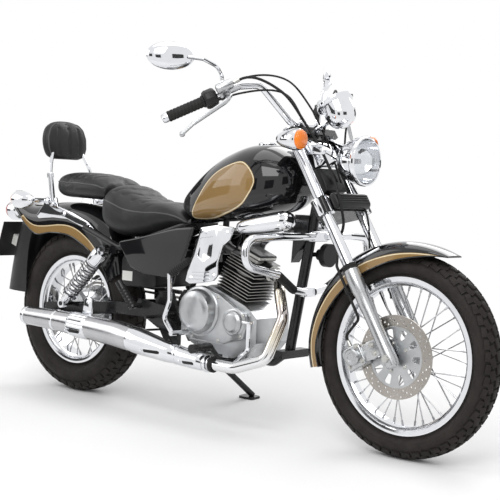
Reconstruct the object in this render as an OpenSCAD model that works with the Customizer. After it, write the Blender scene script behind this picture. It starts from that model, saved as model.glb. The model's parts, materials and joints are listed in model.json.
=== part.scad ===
// Cruiser motorcycle, parked on its side stand.
// Every piece is drawn upright: X forward from the rear axle, Y to the rider's left, Z up from the floor.
// parked() then leans the whole machine onto its stand and centres its footprint on the origin.

/* [Stance] */
// Distance between the two axles
wheelbase = 1452; // [1380:2:1540]
// Lean to the left when it rests on the side stand, in degrees
lean = 4; // [3:0.5:6]
// Steering head angle from the vertical, in degrees
rake = 32; // [29:0.5:35]
// How far the fork legs stand ahead of the steering axis
fork_offset = 45; // [35:1:55]

/* [Wheels] */
// Outside radius of the front tyre
front_tyre_r = 312; // [290:1:325]
// Half of the front tyre's width
front_tyre_half = 46; // [38:1:50]
// Outside radius of the front rim's flanges
front_rim_r = 240; // [215:1:245]
// Outside radius of the rear tyre
rear_tyre_r = 308; // [290:1:320]
// Half of the rear tyre's width
rear_tyre_half = 62; // [50:1:62]
// Outside radius of the rear rim's flanges
rear_rim_r = 203; // [185:1:215]
// Number of spokes in each wheel
spoke_count = 36; // [24:4:40]
// Radius of the front brake disc
disc_r = 127; // [110:1:135]

/* [Fork] */
// Distance of each fork leg from the middle
leg_y = 95; // [90:1:105]
// Radius of the chromed fork tubes
fork_tube_r = 18; // [15:0.5:20]
// Radius of the aluminium sliders
slider_r = 24; // [21:0.5:25]
// Length of the sliders above the axle
slider_top = 296; // [260:2:320]
// Underside of the bottom clamp, along the fork from the axle
bottom_clamp_s = 484; // [470:2:500]
// Underside of the top clamp, along the fork from the axle
top_clamp_s = 764; // [750:2:780]

/* [Engine] */
// Forward tilt of the cylinder, in degrees
cylinder_tilt = 20; // [10:1:24]
// Number of cooling fins on the cylinder
fin_count = 9; // [6:1:11]
// Radius of the round part of the clutch cover
clutch_r = 75; // [65:1:78]
// Half of the crankcase's width
case_half = 84; // [76:1:90]

/* [Exhaust] */
// Radius of the header pipe
pipe_r = 19; // [15:0.5:21]
// Sideways place of the silencer
silencer_y = -190; // [-200:1:-180]
// Largest radius of the silencer
silencer_r = 46; // [38:1:48]
// Radius of the outlet at the silencer's tail
outlet_r = 21; // [16:0.5:24]

/* [Bodywork] */
// Half of the fuel tank's width
tank_half = 150; // [125:1:155]
// Thickness of the fender sheet
sheet = 3; // [2:0.5:4]
// Half of the front fender's width
front_fender_half = 68; // [64:1:69]
// Half of the rear fender's width
rear_fender_half = 90; // [84:1:92]
// Half of the rider seat's width
seat_half = 152; // [130:1:160]

/* [Handlebar] */
// Radius of the handlebar tube
bar_r = 12.5; // [11:0.5:14]
// Half of the handlebar's span, to the end of the grips
bar_half = 400; // [370:2:420]
// Height of the bar's end above the floor
bar_end_z = 996; // [980:2:1030]

/* [Lamps] */
// Radius of the headlamp
headlamp_r = 77; // [70:1:85]
// Radius of the turn signals
signal_r = 34; // [28:1:38]

/* [Hidden] */
$fn = 48;

gap = 0.3;             // between curved faces that would otherwise touch
run = 5;               // between pieces that move past each other
footprint = [653, 79]; // middle of the machine's box, measured in its own frame
front_axle = [wheelbase, 0, front_tyre_r];
rear_axle = [0, 0, rear_tyre_r];
steer_s = top_clamp_s - bottom_clamp_s;
lift = 0.15;            // the leaned tyres' round crowns stand this much lower than upright
stand_pivot = [545, 112, 200];
stand_foot_y = 310;
stand_foot = [595, stand_foot_y, stand_foot_y * tan(lean)];
stand_folded = [-0.954, 0.134, -0.264];
swing_pivot = [470, 0, 352];
arm_y = 98;            // middle of each swingarm arm
shock_y = 150;
shock_low = [53, 340];
shock_top = [260, 553];
chain_y = 74;
rear_sprocket_r = 86;
chain_gear = [640, 342];
crank = [760, 0, 345];
barrel_low = 98;       // cylinder's foot, along its axis from the crank
port_s = 212;          // inlet and exhaust ports, along the same axis
rail_r = 12;
spine_r = 22;
strut_y = 98;          // inner face of the seat rails, beside the rear fender
axle_r = 8;
rear_axle_r = 9;
turning = 0.06;        // clearance round a shaft that turns

chrome = [0.82, 0.83, 0.85];
alloy = [0.66, 0.67, 0.68];
black = [0.05, 0.05, 0.05];
rubber = [0.12, 0.11, 0.11];
leather = [0.07, 0.07, 0.08];

// ---------------------------------------------------------------- geometry helpers

function unit(v) = v / norm(v);

// Points of an arc of radius r that rounds the corner at p, between a and b.
function corner(a, p, b, r, n) =
    let (d1 = unit(p - a), d2 = unit(b - p), turn = acos(max(-1, min(1, d1 * d2))))
    turn < 2 ? [p] :
    let (start = p - d1 * r * tan(turn / 2), centre = p + unit(d2 - d1) * r / cos(turn / 2),
         e = (start - centre) / r)
    [for (k = [0:n]) centre + r * (cos(turn * k / n) * e + sin(turn * k / n) * d1)];

// A path of lines and arcs: every inner point of pts is rounded by the radius bend.
function bent(pts, bend, n = 4) =
    [pts[0], each [for (i = [1:len(pts) - 2]) each corner(pts[i - 1], pts[i], pts[i + 1], bend, n)],
     pts[len(pts) - 1]];

function tangent(p, i) =
    i == 0 ? unit(p[1] - p[0]) :
    i == len(p) - 1 ? unit(p[i] - p[i - 1]) :
    unit(unit(p[i + 1] - p[i]) + unit(p[i] - p[i - 1]));

function square_to(v, t) = unit(v - (v * t) * t);

// One side vector for each point of a path, carried along it without twist.
function sides_of(p, up) =
    [for (i = 0, v = square_to(up, tangent(p, 0)); i < len(p);
          i = i + 1, v = i < len(p) ? square_to(v, tangent(p, i)) : v) v];

// A solid whose closed sections all have as many points, anticlockwise about the way they run.
module loft(sections) {
    n = len(sections[0]);
    last = len(sections) - 1;
    polyhedron(
        points = [for (s = sections) each s],
        faces = [[for (j = [0:n - 1]) j],
                 [for (j = [n - 1:-1:0]) last * n + j],
                 for (i = [0:last - 1]) for (j = [0:n - 1])
                     [i * n + j, (i + 1) * n + j, (i + 1) * n + (j + 1) % n, i * n + (j + 1) % n]],
        convexity = 8);
}

// A round bar along a path, r wide at its points (one radius, or one for each point).
module bar(p, r, sides = 10, up = [0.1, 0.2, 1]) {
    v = sides_of(p, up);
    loft([for (i = [0:len(p) - 1]) let (t = tangent(p, i), w = cross(t, v[i]), ri = is_list(r) ? r[i] : r)
        [for (j = [0:sides - 1]) p[i] + ri * (cos(360 * j / sides) * v[i] + sin(360 * j / sides) * w)]]);
}

// A sheet of even thickness over outer and inner curves, which have as many points each.
module shell(outer, inner) {
    m = len(outer[0]);
    last = len(outer) - 1;
    loft_points = [for (i = [0:last]) each concat(outer[i], inner[i])];
    function o(i, j) = i * 2 * m + j;
    function u(i, j) = i * 2 * m + m + j;
    polyhedron(points = loft_points, faces = [
        for (i = [0:last - 1]) for (j = [0:m - 2]) [o(i, j), o(i, j + 1), o(i + 1, j + 1), o(i + 1, j)],
        for (i = [0:last - 1]) for (j = [0:m - 2]) [u(i, j), u(i + 1, j), u(i + 1, j + 1), u(i, j + 1)],
        for (i = [0:last - 1]) [o(i, 0), o(i + 1, 0), u(i + 1, 0), u(i, 0)],
        for (i = [0:last - 1]) [o(i, m - 1), u(i, m - 1), u(i + 1, m - 1), o(i + 1, m - 1)],
        for (j = [0:m - 2]) [o(0, j), u(0, j), u(0, j + 1), o(0, j + 1)],
        for (j = [0:m - 2]) [o(last, j), o(last, j + 1), u(last, j + 1), u(last, j)]],
        convexity = 10);
}

function power(v, e) = sign(v) * pow(abs(v), e);

// A rounded section across the machine at x: half width, underside, widest height, top, squareness.
function rib(x, half, low, wide, high, e = 0.8, n = 20) =
    [for (j = [0:n - 1]) let (a = 360 * j / n, c = cos(a), s = sin(a))
        [x, half * power(c, e), wide + power(s, e) * (s < 0 ? wide - low : high - wide)]];

// A U section from the right edge over the crown to the left edge, drawn in by the sheet's thickness.
function hood(crown, edge, half, in, n = 10) =
    let (c = crown - unit([crown[0] - edge[0], crown[1] - edge[1]]) * in)
    [for (j = [0:n]) let (a = -90 + 180 * j / n, k = pow(max(cos(a), 0), 0.55))
        [edge[0] + (c[0] - edge[0]) * k, -(half - in) * power(sin(a), 0.85),
            edge[1] + (c[1] - edge[1]) * k]];

// A straight round rod from a to b.
module rod(a, b, r, r_end = undef) {
    d = b - a;
    translate(a)
        rotate([0, acos(d[2] / norm(d)), atan2(d[1], d[0])])
            cylinder(h = norm(d), r1 = r, r2 = is_undef(r_end) ? r : r_end);
}

// A cylinder across the machine, between two Y values.
module across(x, z, r, y0, y1) {
    translate([x, max(y0, y1), z]) rotate([90, 0, 0]) cylinder(h = abs(y1 - y0), r = r);
}

// A flat plate in the XZ plane, between two Y values.
module plate(points, y0, y1) {
    translate([0, max(y0, y1), 0]) rotate([90, 0, 0]) linear_extrude(abs(y1 - y0)) polygon(points);
}

module both_sides() {
    children();
    mirror([0, 1, 0]) children();
}

// The same as on_fork(), for one point: x square to the legs, s along them from the axle.
function at_fork(x, y, s) = front_axle + [cos(rake) * x - sin(rake) * s, y, sin(rake) * x + cos(rake) * s];

// Local frame of the fork: origin on the front axle, Z up the fork legs, X square to them.
module on_fork() {
    translate(front_axle) rotate([0, -rake, 0]) children();
}

module on_wheel(axle) {
    translate(axle) rotate([90, 0, 0]) children();
}

// Leans the machine onto its side stand and centres its footprint.
module parked() {
    translate([-footprint[0], -footprint[1], lift]) rotate([-lean, 0, 0]) children();
}

// ---------------------------------------------------------------- wheels

// Round tyre section: bead between the rim's flanges, then an oval body.
function tyre_section(r_out, half, r_rim, seat_half) =
    let (depth = r_out - r_rim, mid = r_rim + depth * 0.45)
    [[r_rim - 11.7, -seat_half], [r_rim + 2, -seat_half - 1],
     for (k = [0:14]) let (a = -62 + 152 * k / 14)
        [mid + (a < 0 ? (mid - r_rim - 2) * sin(a) : (r_out - mid) * sin(a)), -half * pow(max(cos(a),
            0), 0.75)],
     for (k = [13:-1:0]) let (a = -62 + 152 * k / 14)
        [mid + (a < 0 ? (mid - r_rim - 2) * sin(a) : (r_out - mid) * sin(a)), half * pow(max(cos(a),
            0), 0.75)],
     [r_rim + 2, seat_half + 1], [r_rim - 11.7, seat_half]];

// Rim section: two flanges and a dropped well.
function rim_section(r, half) =
    [[r, -half], [r, -half + 4], [r - 12, -half + 5], [r - 12, -half + 13], [r - 24, -half + 19],
     [r - 24, half - 19], [r - 12, half - 13], [r - 12, half - 5], [r, half - 4], [r, half],
     [r - 15, half - 1], [r - 18, half - 12], [r - 28, half - 18],
     [r - 28, -half + 18], [r - 18, -half + 12], [r - 15, -half + 1]];

module tyre(axle, r_out, half, r_rim, rim_half) {
    color(rubber) on_wheel(axle) rotate_extrude($fn = 72) polygon(tyre_section(r_out, half, r_rim,
        rim_half - 5.3));
}

module rim(axle, r, half) {
    color(chrome) on_wheel(axle) rotate_extrude($fn = 72) polygon(rim_section(r, half));
}

// Crossed spokes from the hub's two flanges to the rim.
module spokes(axle, r_hub, y_hub, r_rim, cross_angle) {
    color(chrome) translate(axle)
        for (k = [0:spoke_count - 1]) {
            side = k % 2 == 0 ? 1 : -1;
            way = floor(k / 2) % 2 == 0 ? 1 : -1;
            a = 360 * k / spoke_count;
            h = a + way * cross_angle;
            rod([r_hub * cos(h), side * (y_hub + way * 1.2), r_hub * sin(h)],
                [r_rim * cos(a), side * 4, r_rim * sin(a)], 2, $fn = 16);
        }
}

front_rim_half = 31;
rear_rim_half = 44;
front_hub_r = 40;
rear_hub_r = 76;
disc_y = -62;

module front_tyre() tyre(front_axle, front_tyre_r, front_tyre_half, front_rim_r, front_rim_half);
module front_rim() rim(front_axle, front_rim_r, front_rim_half);
module front_spokes() spokes(front_axle, front_hub_r - 3, 33, front_rim_r - 26, 58);
module rear_tyre() tyre(rear_axle, rear_tyre_r, rear_tyre_half, rear_rim_r, rear_rim_half);
module rear_rim() rim(rear_axle, rear_rim_r, rear_rim_half);
module rear_spokes() spokes(rear_axle, rear_hub_r - 3, 34, rear_rim_r - 26, 30);

// Hub barrel with two spoke flanges; it turns on the axle with a running gap.
module front_hub() {
    color(alloy) on_wheel(front_axle) rotate_extrude()
        polygon([[axle_r + turning, -54], [26, -54], [28, -38], [front_hub_r, -36], [front_hub_r, -30],
            [24, -26],
                 [24, 26], [front_hub_r, 30], [front_hub_r, 36], [34, 38], [34, -disc_y - 2.8],
                     [axle_r + turning, -disc_y - 2.8]]);
}

module brake_disc() {
    color([0.6, 0.57, 0.5]) translate([wheelbase, disc_y, front_tyre_r]) rotate([90, 0, 0]) difference() {
        translate([0, 0, -2.5]) cylinder(h = 5, r = disc_r, $fn = 72);
        translate([0, 0, -4]) cylinder(h = 8, r = 12);
        for (k = [0:4]) rotate(72 * k + 10) translate([68, 0, -4]) cylinder(h = 8, r = 12);
    }
}

// Drum hub with the chain sprocket bolted to its left side.
module rear_hub() {
    color(alloy) on_wheel(rear_axle) rotate_extrude()
        polygon([[rear_axle_r + turning, -80], [24, -80], [30, -76.5], [rear_sprocket_r, -76.5],
            [rear_sprocket_r, -71.5],
                 [50, -71], [50, -42], [rear_hub_r, -40], [rear_hub_r, 40], [rear_hub_r - 6, 56], [30, 62],
                 [26, 78], [rear_axle_r + turning, 78]]);
}

// ---------------------------------------------------------------- frame

head_low = bottom_clamp_s + 62;
head_high = top_clamp_s - run;

// Point on the steering axis, s along the fork from the axle.
function on_axis(s) = front_axle + [-sin(rake) * s - cos(rake) * fork_offset, 0,
    cos(rake) * s - sin(rake) * fork_offset];

head_r = 27;
stem_r = 17;
clamp_back = stem_r + 5;   // how far the clamps reach behind the steering axis
clamp_back_half = 18;      // half of their width there, which clears the tank and down tube at full lock
clamp_round = 26;          // how far they reach past the middle of each leg
spine_front = on_axis(650);
spine_back = [600, 0, 706];
spine_dir = unit(spine_front - spine_back);
brace = [700, 640];    // cross tube that carries the chrome side plates
plate_y = 106;

module frame_spine() {
    color(black) {
        difference() {
            union() {
                rod(on_axis(head_low), on_axis(head_high), head_r);
                rod(spine_front, spine_back, spine_r);
            }
            rod(on_axis(head_low - 5), on_axis(head_high + 5), stem_r);
        }
        rod([brace[0], 0, brace[1]], [brace[0] + 4, 0, 722], 11);
        across(brace[0], brace[1], 9, -plate_y + gap, plate_y - gap);
    }
}

down_low = [1000, 0, 262];
cleaner_mount = [1036, 694];

module frame_down_tube() {
    color(black) {
        difference() {
            union() {
                rod(on_axis(head_low + 40) + [-18, 0, -26], down_low, 17);
                plate([[1006, 560], [1066, 640], [1072, 716], [1014, 716]], -22, 22);
            }
            rod(on_axis(head_low - 60), on_axis(head_high), head_r + gap);
            across(cleaner_mount[0], cleaner_mount[1], 9 + gap, -30, 30);
        }
        translate([990, -70, 250]) cube([36, 140, 26]);
    }
}

// Two lower rails under the engine, and the plates that carry the swingarm.
module frame_cradle() {
    color(black) both_sides() {
        bar(bent([[990 - gap, -56, 262], [960, -56, 262], [890, -56, 212], [560, -56, 212],
            [520, -56, 260]], 30, 3), 13);
        difference() {
            plate([[500, 240], [560, 240], [560, 330], [520, 420], [470, 420], [446, 390],
                [446, 320]], -66, -50);
            across(swing_pivot[0], swing_pivot[2], 15 + gap, -80, -40);
        }
    }
    // lug that holds the side stand's hinge bolt, with the bolt's head under its eye
    color(black) {
        rod(stand_pivot - stand_axis * (stand_eye + gap + 10),
            stand_pivot - stand_axis * (stand_eye + gap), 17);
        rod(stand_pivot - stand_axis * (stand_eye + gap + 8), [560, 62, 212], 7);
        rod(stand_pivot - stand_axis * (stand_eye + gap + 1),
            stand_pivot + stand_axis * (stand_eye + gap + 5), 6);
        rod(stand_pivot + stand_axis * (stand_eye + gap),
            stand_pivot + stand_axis * (stand_eye + gap + 6), 10);
    }
}

rail_front = [600, -58, 668];
rail_knee = [300, -strut_y - rail_r, 560];
rail_back = [112, -strut_y - rail_r, 622];

module seat_rails() {
    color(black) {
        both_sides() {
            bar(bent([rail_front, rail_knee, rail_back], 40), rail_r, 12);
            rod([500, -59, 423 + gap], [578, -63, 657], 10);
            plate([[238, 538], [284, 538], [296, 572], [240, 590]], -strut_y - 18, -strut_y - 6);
            across(shock_top[0], shock_top[1], 9, -strut_y - 8, -shock_y - 13);
        }
        across(594, 663, 9, -57, 57);
        translate([586, -12, 666]) cube([16, 24, 19]);
        across(322, 570, 9, -103, 103);
    }
}

// ---------------------------------------------------------------- engine

module on_crank() {
    translate(crank) rotate([0, cylinder_tilt, 0]) children();
}

// Point in the plane of the cylinder, x square to it and z along it.
function at_crank(x, z) = [crank[0] + cos(cylinder_tilt) * x + sin(cylinder_tilt) * z,
                           crank[2] - sin(cylinder_tilt) * x + cos(cylinder_tilt) * z];

module crankcase() {
    color(alloy) {
        difference() {
            plate([[590, 300], [640, 262], [720, 238], [880, 238], [925, 290], [925, 370], [896, 394],
                   at_crank(84, barrel_low - gap), at_crank(-80, barrel_low - gap), [640, 436], [592, 380]],
                  -case_half, case_half);
            // recess for the chain's front sprocket
            translate([580, 61, 240]) cube([116, 40, 240]);
        }
        for (x = [770, 850]) translate([x, -68, 225 + gap]) cube([26, 136, 20]);
    }
}

module engine_covers() {
    color(alloy) {
        // clutch cover on the right, ending in a flat round dome
        translate([0, -case_half - gap, 0]) mirror([0, 1, 0]) {
            plate([[640, 300], [730, 268], [850, 276], [895, 330], [890, 385], [862, 404], [690, 436],
                [630, 400]], 0, 26);
            translate([690, 24, 375]) rotate([-90, 0, 0]) rotate_extrude()
                polygon([[0, 0], [clutch_r, 0], [clutch_r, 14], [clutch_r - 8, 26],
                    [clutch_r - 26, 32], [0, 34]]);
            translate([840, 24, 352]) rotate([-90, 0, 0]) cylinder(h = 10, r1 = 40, r2 = 34);
        }
        // generator cover and chain cover on the left
        translate([0, case_half + gap, 0]) {
            plate([[710, 270], [850, 276], [895, 330], [890, 385], [862, 404], [710, 430]], 0, 18);
            translate([800, 16, 345]) rotate([-90, 0, 0]) rotate_extrude()
                polygon([[0, 0], [66, 0], [66, 14], [56, 26], [0, 30]]);
            plate([[604, 290], [724, 275], [724, 425], [604, 400]], 12, 26);
        }
    }
}

module fin(z, half_x, half_y, t = 3) {
    translate([-half_x, -half_y, z]) linear_extrude(t) offset(14,
        $fn = 24) offset(-14) square([2 * half_x, 2 * half_y]);
}

module cylinder_barrel(low, high) {
    translate([0, 0, low]) cylinder(h = high - low, r = 48);
}

module engine_cylinder() {
    color([0.25, 0.25, 0.26]) on_crank() {
        cylinder_barrel(barrel_low, 184);
        for (k = [0:fin_count - 1]) fin(103 + k * (77 / (fin_count - 1)),
            72 - 6 * abs(k - fin_count) / fin_count, 68);
    }
}

module cylinder_head() {
    color([0.5, 0.5, 0.51]) on_crank() {
        cylinder_barrel(184 + gap, 236);
        for (k = [0:4]) fin(188 + k * 9, 74 - 3 * k, 66);
        translate([-62, -52, 228]) cube([118, 104, 34]);
        translate([-40, -60, 240]) cube([74, 120, 14]);
        translate([0, 0, port_s]) rotate([0, 90, 0]) cylinder(h = 84, r = 25);
        translate([-84, 0, port_s]) rotate([0, 90, 0]) cylinder(h = 60, r = 22);
    }
}

inlet = at_crank(-84 - gap, port_s);

module carburettor() {
    color(alloy) {
        rod([inlet[0], 0, inlet[1]], [inlet[0], 0, inlet[1]] - port_dir * 52, 18);
        rod([inlet[0] - 40, 0, inlet[1] + 16], [622, 0, inlet[1] + 16], 25);
        rod([630, 0, inlet[1] + 16], [588, 0, inlet[1] + 16], 31);
        rod([662, 0, inlet[1] - 36], [662, 0, inlet[1] + 54], 22);
    }
}

// Bullet-shaped chrome covers on both sides, on one cross tube through the frame's gusset.
cleaner_y = 112;

module air_cleaner() {
    color(chrome) {
        both_sides() translate([850, -cleaner_y, 662]) rotate([0, 80, 0]) rotate_extrude()
            polygon([[0, 0], [16, 18], [26, 58], [31, 110], [33, 190], [29, 214], [18, 228], [0, 232]]);
        across(cleaner_mount[0], cleaner_mount[1], 9, -cleaner_y, cleaner_y);
    }
}

// ---------------------------------------------------------------- exhaust

port_dir = [cos(cylinder_tilt), 0, -sin(cylinder_tilt)];
exhaust_port = [at_crank(84 + gap, port_s)[0], 0, at_crank(84 + gap, port_s)[1]];

module exhaust_pipe() {
    color(chrome)
        bar(bent([exhaust_port, exhaust_port + port_dir * 34, exhaust_port + port_dir * 88 + [0, -58, -22],
                  [1050, -104, 390], [1026, -152, 256], [926, silencer_y, 220],
                      [832 + gap, silencer_y, 220]], 44, 4),
            pipe_r, 14);
}

// Axis of the silencer: where each length of it starts, its height and its radius.
silencer_rows = [[832, 220, 24], [812, 220, 24], [700, 230, 28], [622, 238, 34],
    [500, 256, silencer_r - 3], [436, 264, silencer_r],
    [300, 273, silencer_r - 2], [138, 280, silencer_r - 6], [20, 282, silencer_r - 10],
        [-100, 283, silencer_r - 13]];

module silencer() {
    color(chrome) difference() {
        union() {
            bar([for (r = silencer_rows) [r[0], silencer_y, r[1]]], [for (r = silencer_rows) r[2]], 20);
            // hanger, bolted to the passenger footrest's plate
            plate([[470, 285], [506, 285], [514, 340], [496, 362],
                [476, 340]], silencer_y + 18, silencer_y + 26);
        }
        translate([-101, silencer_y, 283]) rotate([0, 90, 0]) cylinder(h = 61, r = outlet_r);
    }
}

// ---------------------------------------------------------------- tank and seats

// Place, half width as a share of the tank's, underside, widest height, top.
tank_rows = [[528, 0.20, 722, 729, 736], [560, 0.44, 701, 722, 770], [606, 0.62, 670, 722, 812],
    [690, 0.80, 674, 752, 874], [780, 0.94, 684, 775, 917], [860, 1.00, 700, 790, 938],
    [930, 0.96, 712, 800, 934], [975, 0.83, 726, 808, 913], [1012, 0.64, 752, 818, 888],
        [1036, 0.42, 782, 826, 864]];

module fuel_tank() {
    color(black) {
        difference() {
            loft([for (r = tank_rows) rib(r[0], r[1] * tank_half, r[2], r[3], r[4])]);
            // tunnel that rests on the frame's spine, and room for the steering head
            rod(spine_front + spine_dir * 60, spine_back - spine_dir * 130, spine_r + gap);
            translate([500, -30, 640]) cube([700, 60, 82]);
            rod(on_axis(500), on_axis(900), 46);
        }
    }
    color(chrome) translate([868, 0, 930]) cylinder(h = 16, r = 30);
}

rider_rows = [[207, 0.78, 640, 700, 762], [228, 0.93, 612, 690, 781], [270, 1.00, 597, 680, 777],
    [330, 0.98, 594, 672, 746], [400, 0.90, 607, 672, 728], [480, 0.77, 630, 676, 722],
        [545, 0.66, 645, 675, 700],
    [600, 0.56, 652, 660, 667]];

module rider_seat() {
    color(leather) difference() {
        loft([for (r = rider_rows) rib(r[0], r[1] * seat_half, r[2], r[3], r[4], 0.75)]);
        translate([150, -74, 560]) cube([500, 148, 138]);
        both_sides() rod(rail_front + 0.1 * (rail_front - rail_knee),
            rail_knee + 0.2 * (rail_knee - rail_front), rail_r + gap);
    }
}

passenger_rows = [[-92, 58, 742, 772, 796], [-70, 92, 726, 768, 816], [0, 110, 722, 766, 821],
    [100, 118, 720, 762, 819],
    [170, 117, 720, 760, 806], [204, 108, 722, 752, 792]];

module passenger_seat() {
    color(leather) {
        loft([for (r = passenger_rows) rib(r[0], r[1], r[2], r[3], r[4], 0.75)]);
        translate([-20, -30, 708.6]) cube([40, 60, 30]);
    }
}

pad_rows = [[868, 20, 62], [880, 28, 92], [910, 32, 105], [950, 33, 106], [985, 30, 92],
    [1004, 22, 66], [1012, 10, 34]];

module backrest_pad() {
    color(leather) loft([for (r = pad_rows)
        [for (j = [0:19]) [-134 - 0.12 * (r[0] - 868) + r[1] * power(cos(18 * j), 0.8),
            r[2] * power(sin(18 * j), 0.8), r[0]]]]);
}

// Cast side plates bolted to the fender and the seat rails, and the hoop's two legs.
module backrest_frame() {
    color(chrome) both_sides() {
        plate([[-178, 652], [-140, 694], [-122, 724], [-68, 724], [-56, 690], [30, 672], [110, 644],
            [150, 616],
               [144, 600], [100, 616], [0, 646], [-80, 648],
                   [-165, 640]], -strut_y + gap, -rear_fender_half + 2.5);
        rod([-82, -100, 712], [-98, -102, 815], 11, 9);
        bar(bent([[-98, -102, 812], [-108, -92, 850], [-122, -74, 890], [-132, -66, 930]], 24), 7);
    }
}

// ---------------------------------------------------------------- fenders

// Angle forward of the axle, edge radius, half width as a share; the crown keeps one radius.
front_crown_r = 346;
front_fender_rows = [[25, 341, 0.56], [18, 326, 0.76], [8, 306, 0.94], [-6, 288, 1], [-22, 276, 1],
    [-40, 274, 1], [-58, 278, 1],
    [-76, 289, 1], [-92, 297, 0.98], [-103, 296, 0.9]];

module front_fender() {
    function at(a, r) = [wheelbase + r * sin(a), front_tyre_r + r * cos(a)];
    color(black) {
        shell([for (r = front_fender_rows) hood(at(r[0], front_crown_r), at(r[0], r[1]),
            front_fender_half * r[2], 0)],
              [for (r = front_fender_rows) hood(at(r[0], front_crown_r), at(r[0], r[1]),
                  front_fender_half * r[2], sheet)]);
        both_sides() on_fork() translate([0, -front_fender_half + 1, 284]) rotate([90, 0, 0])
            cylinder(h = leg_y - slider_r - 2 - gap - front_fender_half + 1, r = 9);
    }
}

// Crown x and z, edge x and z, half width as a share.
rear_fender_rows = [[272, 470, 214, 430, 0.90], [252, 560, 192, 478, 0.95], [192, 644, 138, 524, 0.98],
    [110, 691, 67, 564, 1],
    [0, 708, -3, 588, 1], [-110, 706, -100, 591, 1], [-200, 694, -189, 582, 1],
        [-262, 690, -243, 606, 0.95],
    [-330, 701, -304, 648, 0.85], [-392, 713, -370, 690, 0.68]];

module rear_fender() {
    color(black) {
        shell([for (r = rear_fender_rows) hood([r[0], r[1]], [r[2], r[3]], rear_fender_half * r[4], 0)],
              [for (r = rear_fender_rows) hood([r[0], r[1]],
                  [r[2], r[3]], rear_fender_half * r[4], sheet)]);
        translate([-374, -40, 640]) cube([5, 80, 66]);
    }
}

mudguard_rows = [[-285, 690.3, -216, 604, 74], [-320, 636, -228, 580, 74], [-350, 560, -240, 530, 76],
    [-378, 460, -248, 440, 76], [-400, 352, -248, 350, 76]];

module rear_mudguard() {
    color(black) shell([for (r = mudguard_rows) hood([r[0], r[1]], [r[2], r[3]], r[4], 0)],
                       [for (r = mudguard_rows) hood([r[0], r[1]], [r[2], r[3]], r[4], sheet)]);
}

plate_tilt = 18;

module number_plate() {
    color("white") translate([-390, 0, 545]) rotate([0, plate_tilt, 0]) difference() {
        union() {
            translate([-14, -90, -70]) cube([4, 180, 140]);
            translate([-11, -30, -20]) cube([44.3, 60, 40]);
        }
        for (y = [-70, 70]) translate([-20, y, 50]) rotate([0, 90, 0]) cylinder(h = 20, r = 3.5);
    }
}

module tail_lamp() {
    color("red") translate([-374 - gap, 0, 660]) rotate([0, -90, 0]) rotate_extrude()
        polygon([[0, 0], [26, 0], [36, 14], [40, 34], [40, 52], [34, 70], [20, 80], [0, 84]]);
}

// Bullet lamp along X, nose first, with its stalk towards the middle.
module signal(nose, way, stalk_to) {
    translate(nose) {
        rotate([0, way * 90, 0]) rotate_extrude()
            polygon([[0, 0], [14, 8], [26, 34], [signal_r, 70], [signal_r, 92], [signal_r - 8, 104],
                [0, 108]]);
    }
    rod(nose + [way * 27, 4, 0], stalk_to, 8);
}

module rear_signals() {
    color("orange") both_sides() signal([-84, -190, 710], -1, [-111, -strut_y, 710]);
}

// ---------------------------------------------------------------- covers

module side_covers() {
    color(black) both_sides() {
        // peg that reaches the seat rail
        across(400, 595, 6, -125, -92.7 - rail_r - gap);
        plate([[318, 580], [330, 588], [420, 606], [560, 640], [600, 648], [676, 655], [640, 560],
            [606, 488], [560, 476], [450, 478],
               [380, 500]], -138, -124);
    }
}

module engine_side_plates() {
    color(chrome) both_sides()
        plate([[690, 656], [760, 668], [834, 664], [820, 622], [790, 600], [770, 540], [772, 500],
            [756, 482], [700, 470],
               [650, 462], [628, 470], [640, 520]], -plate_y - 10, -plate_y);
}

// ---------------------------------------------------------------- rear suspension and drive

module swingarm() {
    color(black) {
        both_sides() {
            plate([[-84, 286], [-84, 330], [30, 342], [300, 368], [swing_pivot[0] + 10, 376],
                [swing_pivot[0] + 22, 352],
                   [swing_pivot[0] + 10, 330], [300, 326], [30, 292]], -arm_y - 13, -arm_y + 12);
            across(shock_low[0], shock_low[1], 8, -arm_y - 10, -shock_y - 13);
        }
        across(swing_pivot[0], swing_pivot[2], 15, -arm_y, arm_y);
        across(0, rear_tyre_r, rear_axle_r, -arm_y - 26, arm_y + 26);
    }
}

module shock_absorbers() {
    d = shock_top - shock_low;
    length = norm(d);
    color(chrome) both_sides()
        translate([shock_low[0], -shock_y, shock_low[1]]) rotate([0, atan2(d[0], d[1]), 0]) {
            difference() {
                union() {
                    rotate([90, 0, 0]) translate([0, 0, -11]) cylinder(h = 22, r = 16);
                    cylinder(h = 90, r = 17);
                    cylinder(h = length, r = 9);
                    translate([0, 0, 52]) cylinder(h = 8, r = 30);
                    for (k = [0:12]) translate([0, 0, 66 + 13 * k]) cylinder(h = 6.5, r = 28);
                    translate([0, 0, 234]) cylinder(h = length - 246, r = 30);
                    translate([0, 0, length]) rotate([90, 0, 0]) translate([0, 0,
                        -11]) cylinder(h = 22, r = 18);
                }
                rotate([90, 0, 0]) translate([0, 0, -20]) cylinder(h = 40, r = 8 + gap);
                translate([0, 0, length]) rotate([90, 0, 0]) translate([0, 0, -20]) cylinder(h = 40,
                    r = 9 + gap);
            }
        }
}

module drive_chain() {
    chain_r = rear_sprocket_r + run + 8;
    color([0.3, 0.3, 0.3]) translate([0, chain_y + 6, 0]) rotate([90, 0,
        0]) linear_extrude(11) difference() {
        hull() {
            translate([0, rear_tyre_r]) circle(chain_r);
            translate(chain_gear) circle(40);
        }
        hull() {
            translate([0, rear_tyre_r]) circle(chain_r - 8);
            translate(chain_gear) circle(32);
        }
    }
    color([0.3, 0.3, 0.3]) {
        across(chain_gear[0], chain_gear[1], 33, 71, 77);
        across(chain_gear[0], chain_gear[1], 12, 61 + gap, 74);
    }
}

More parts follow.
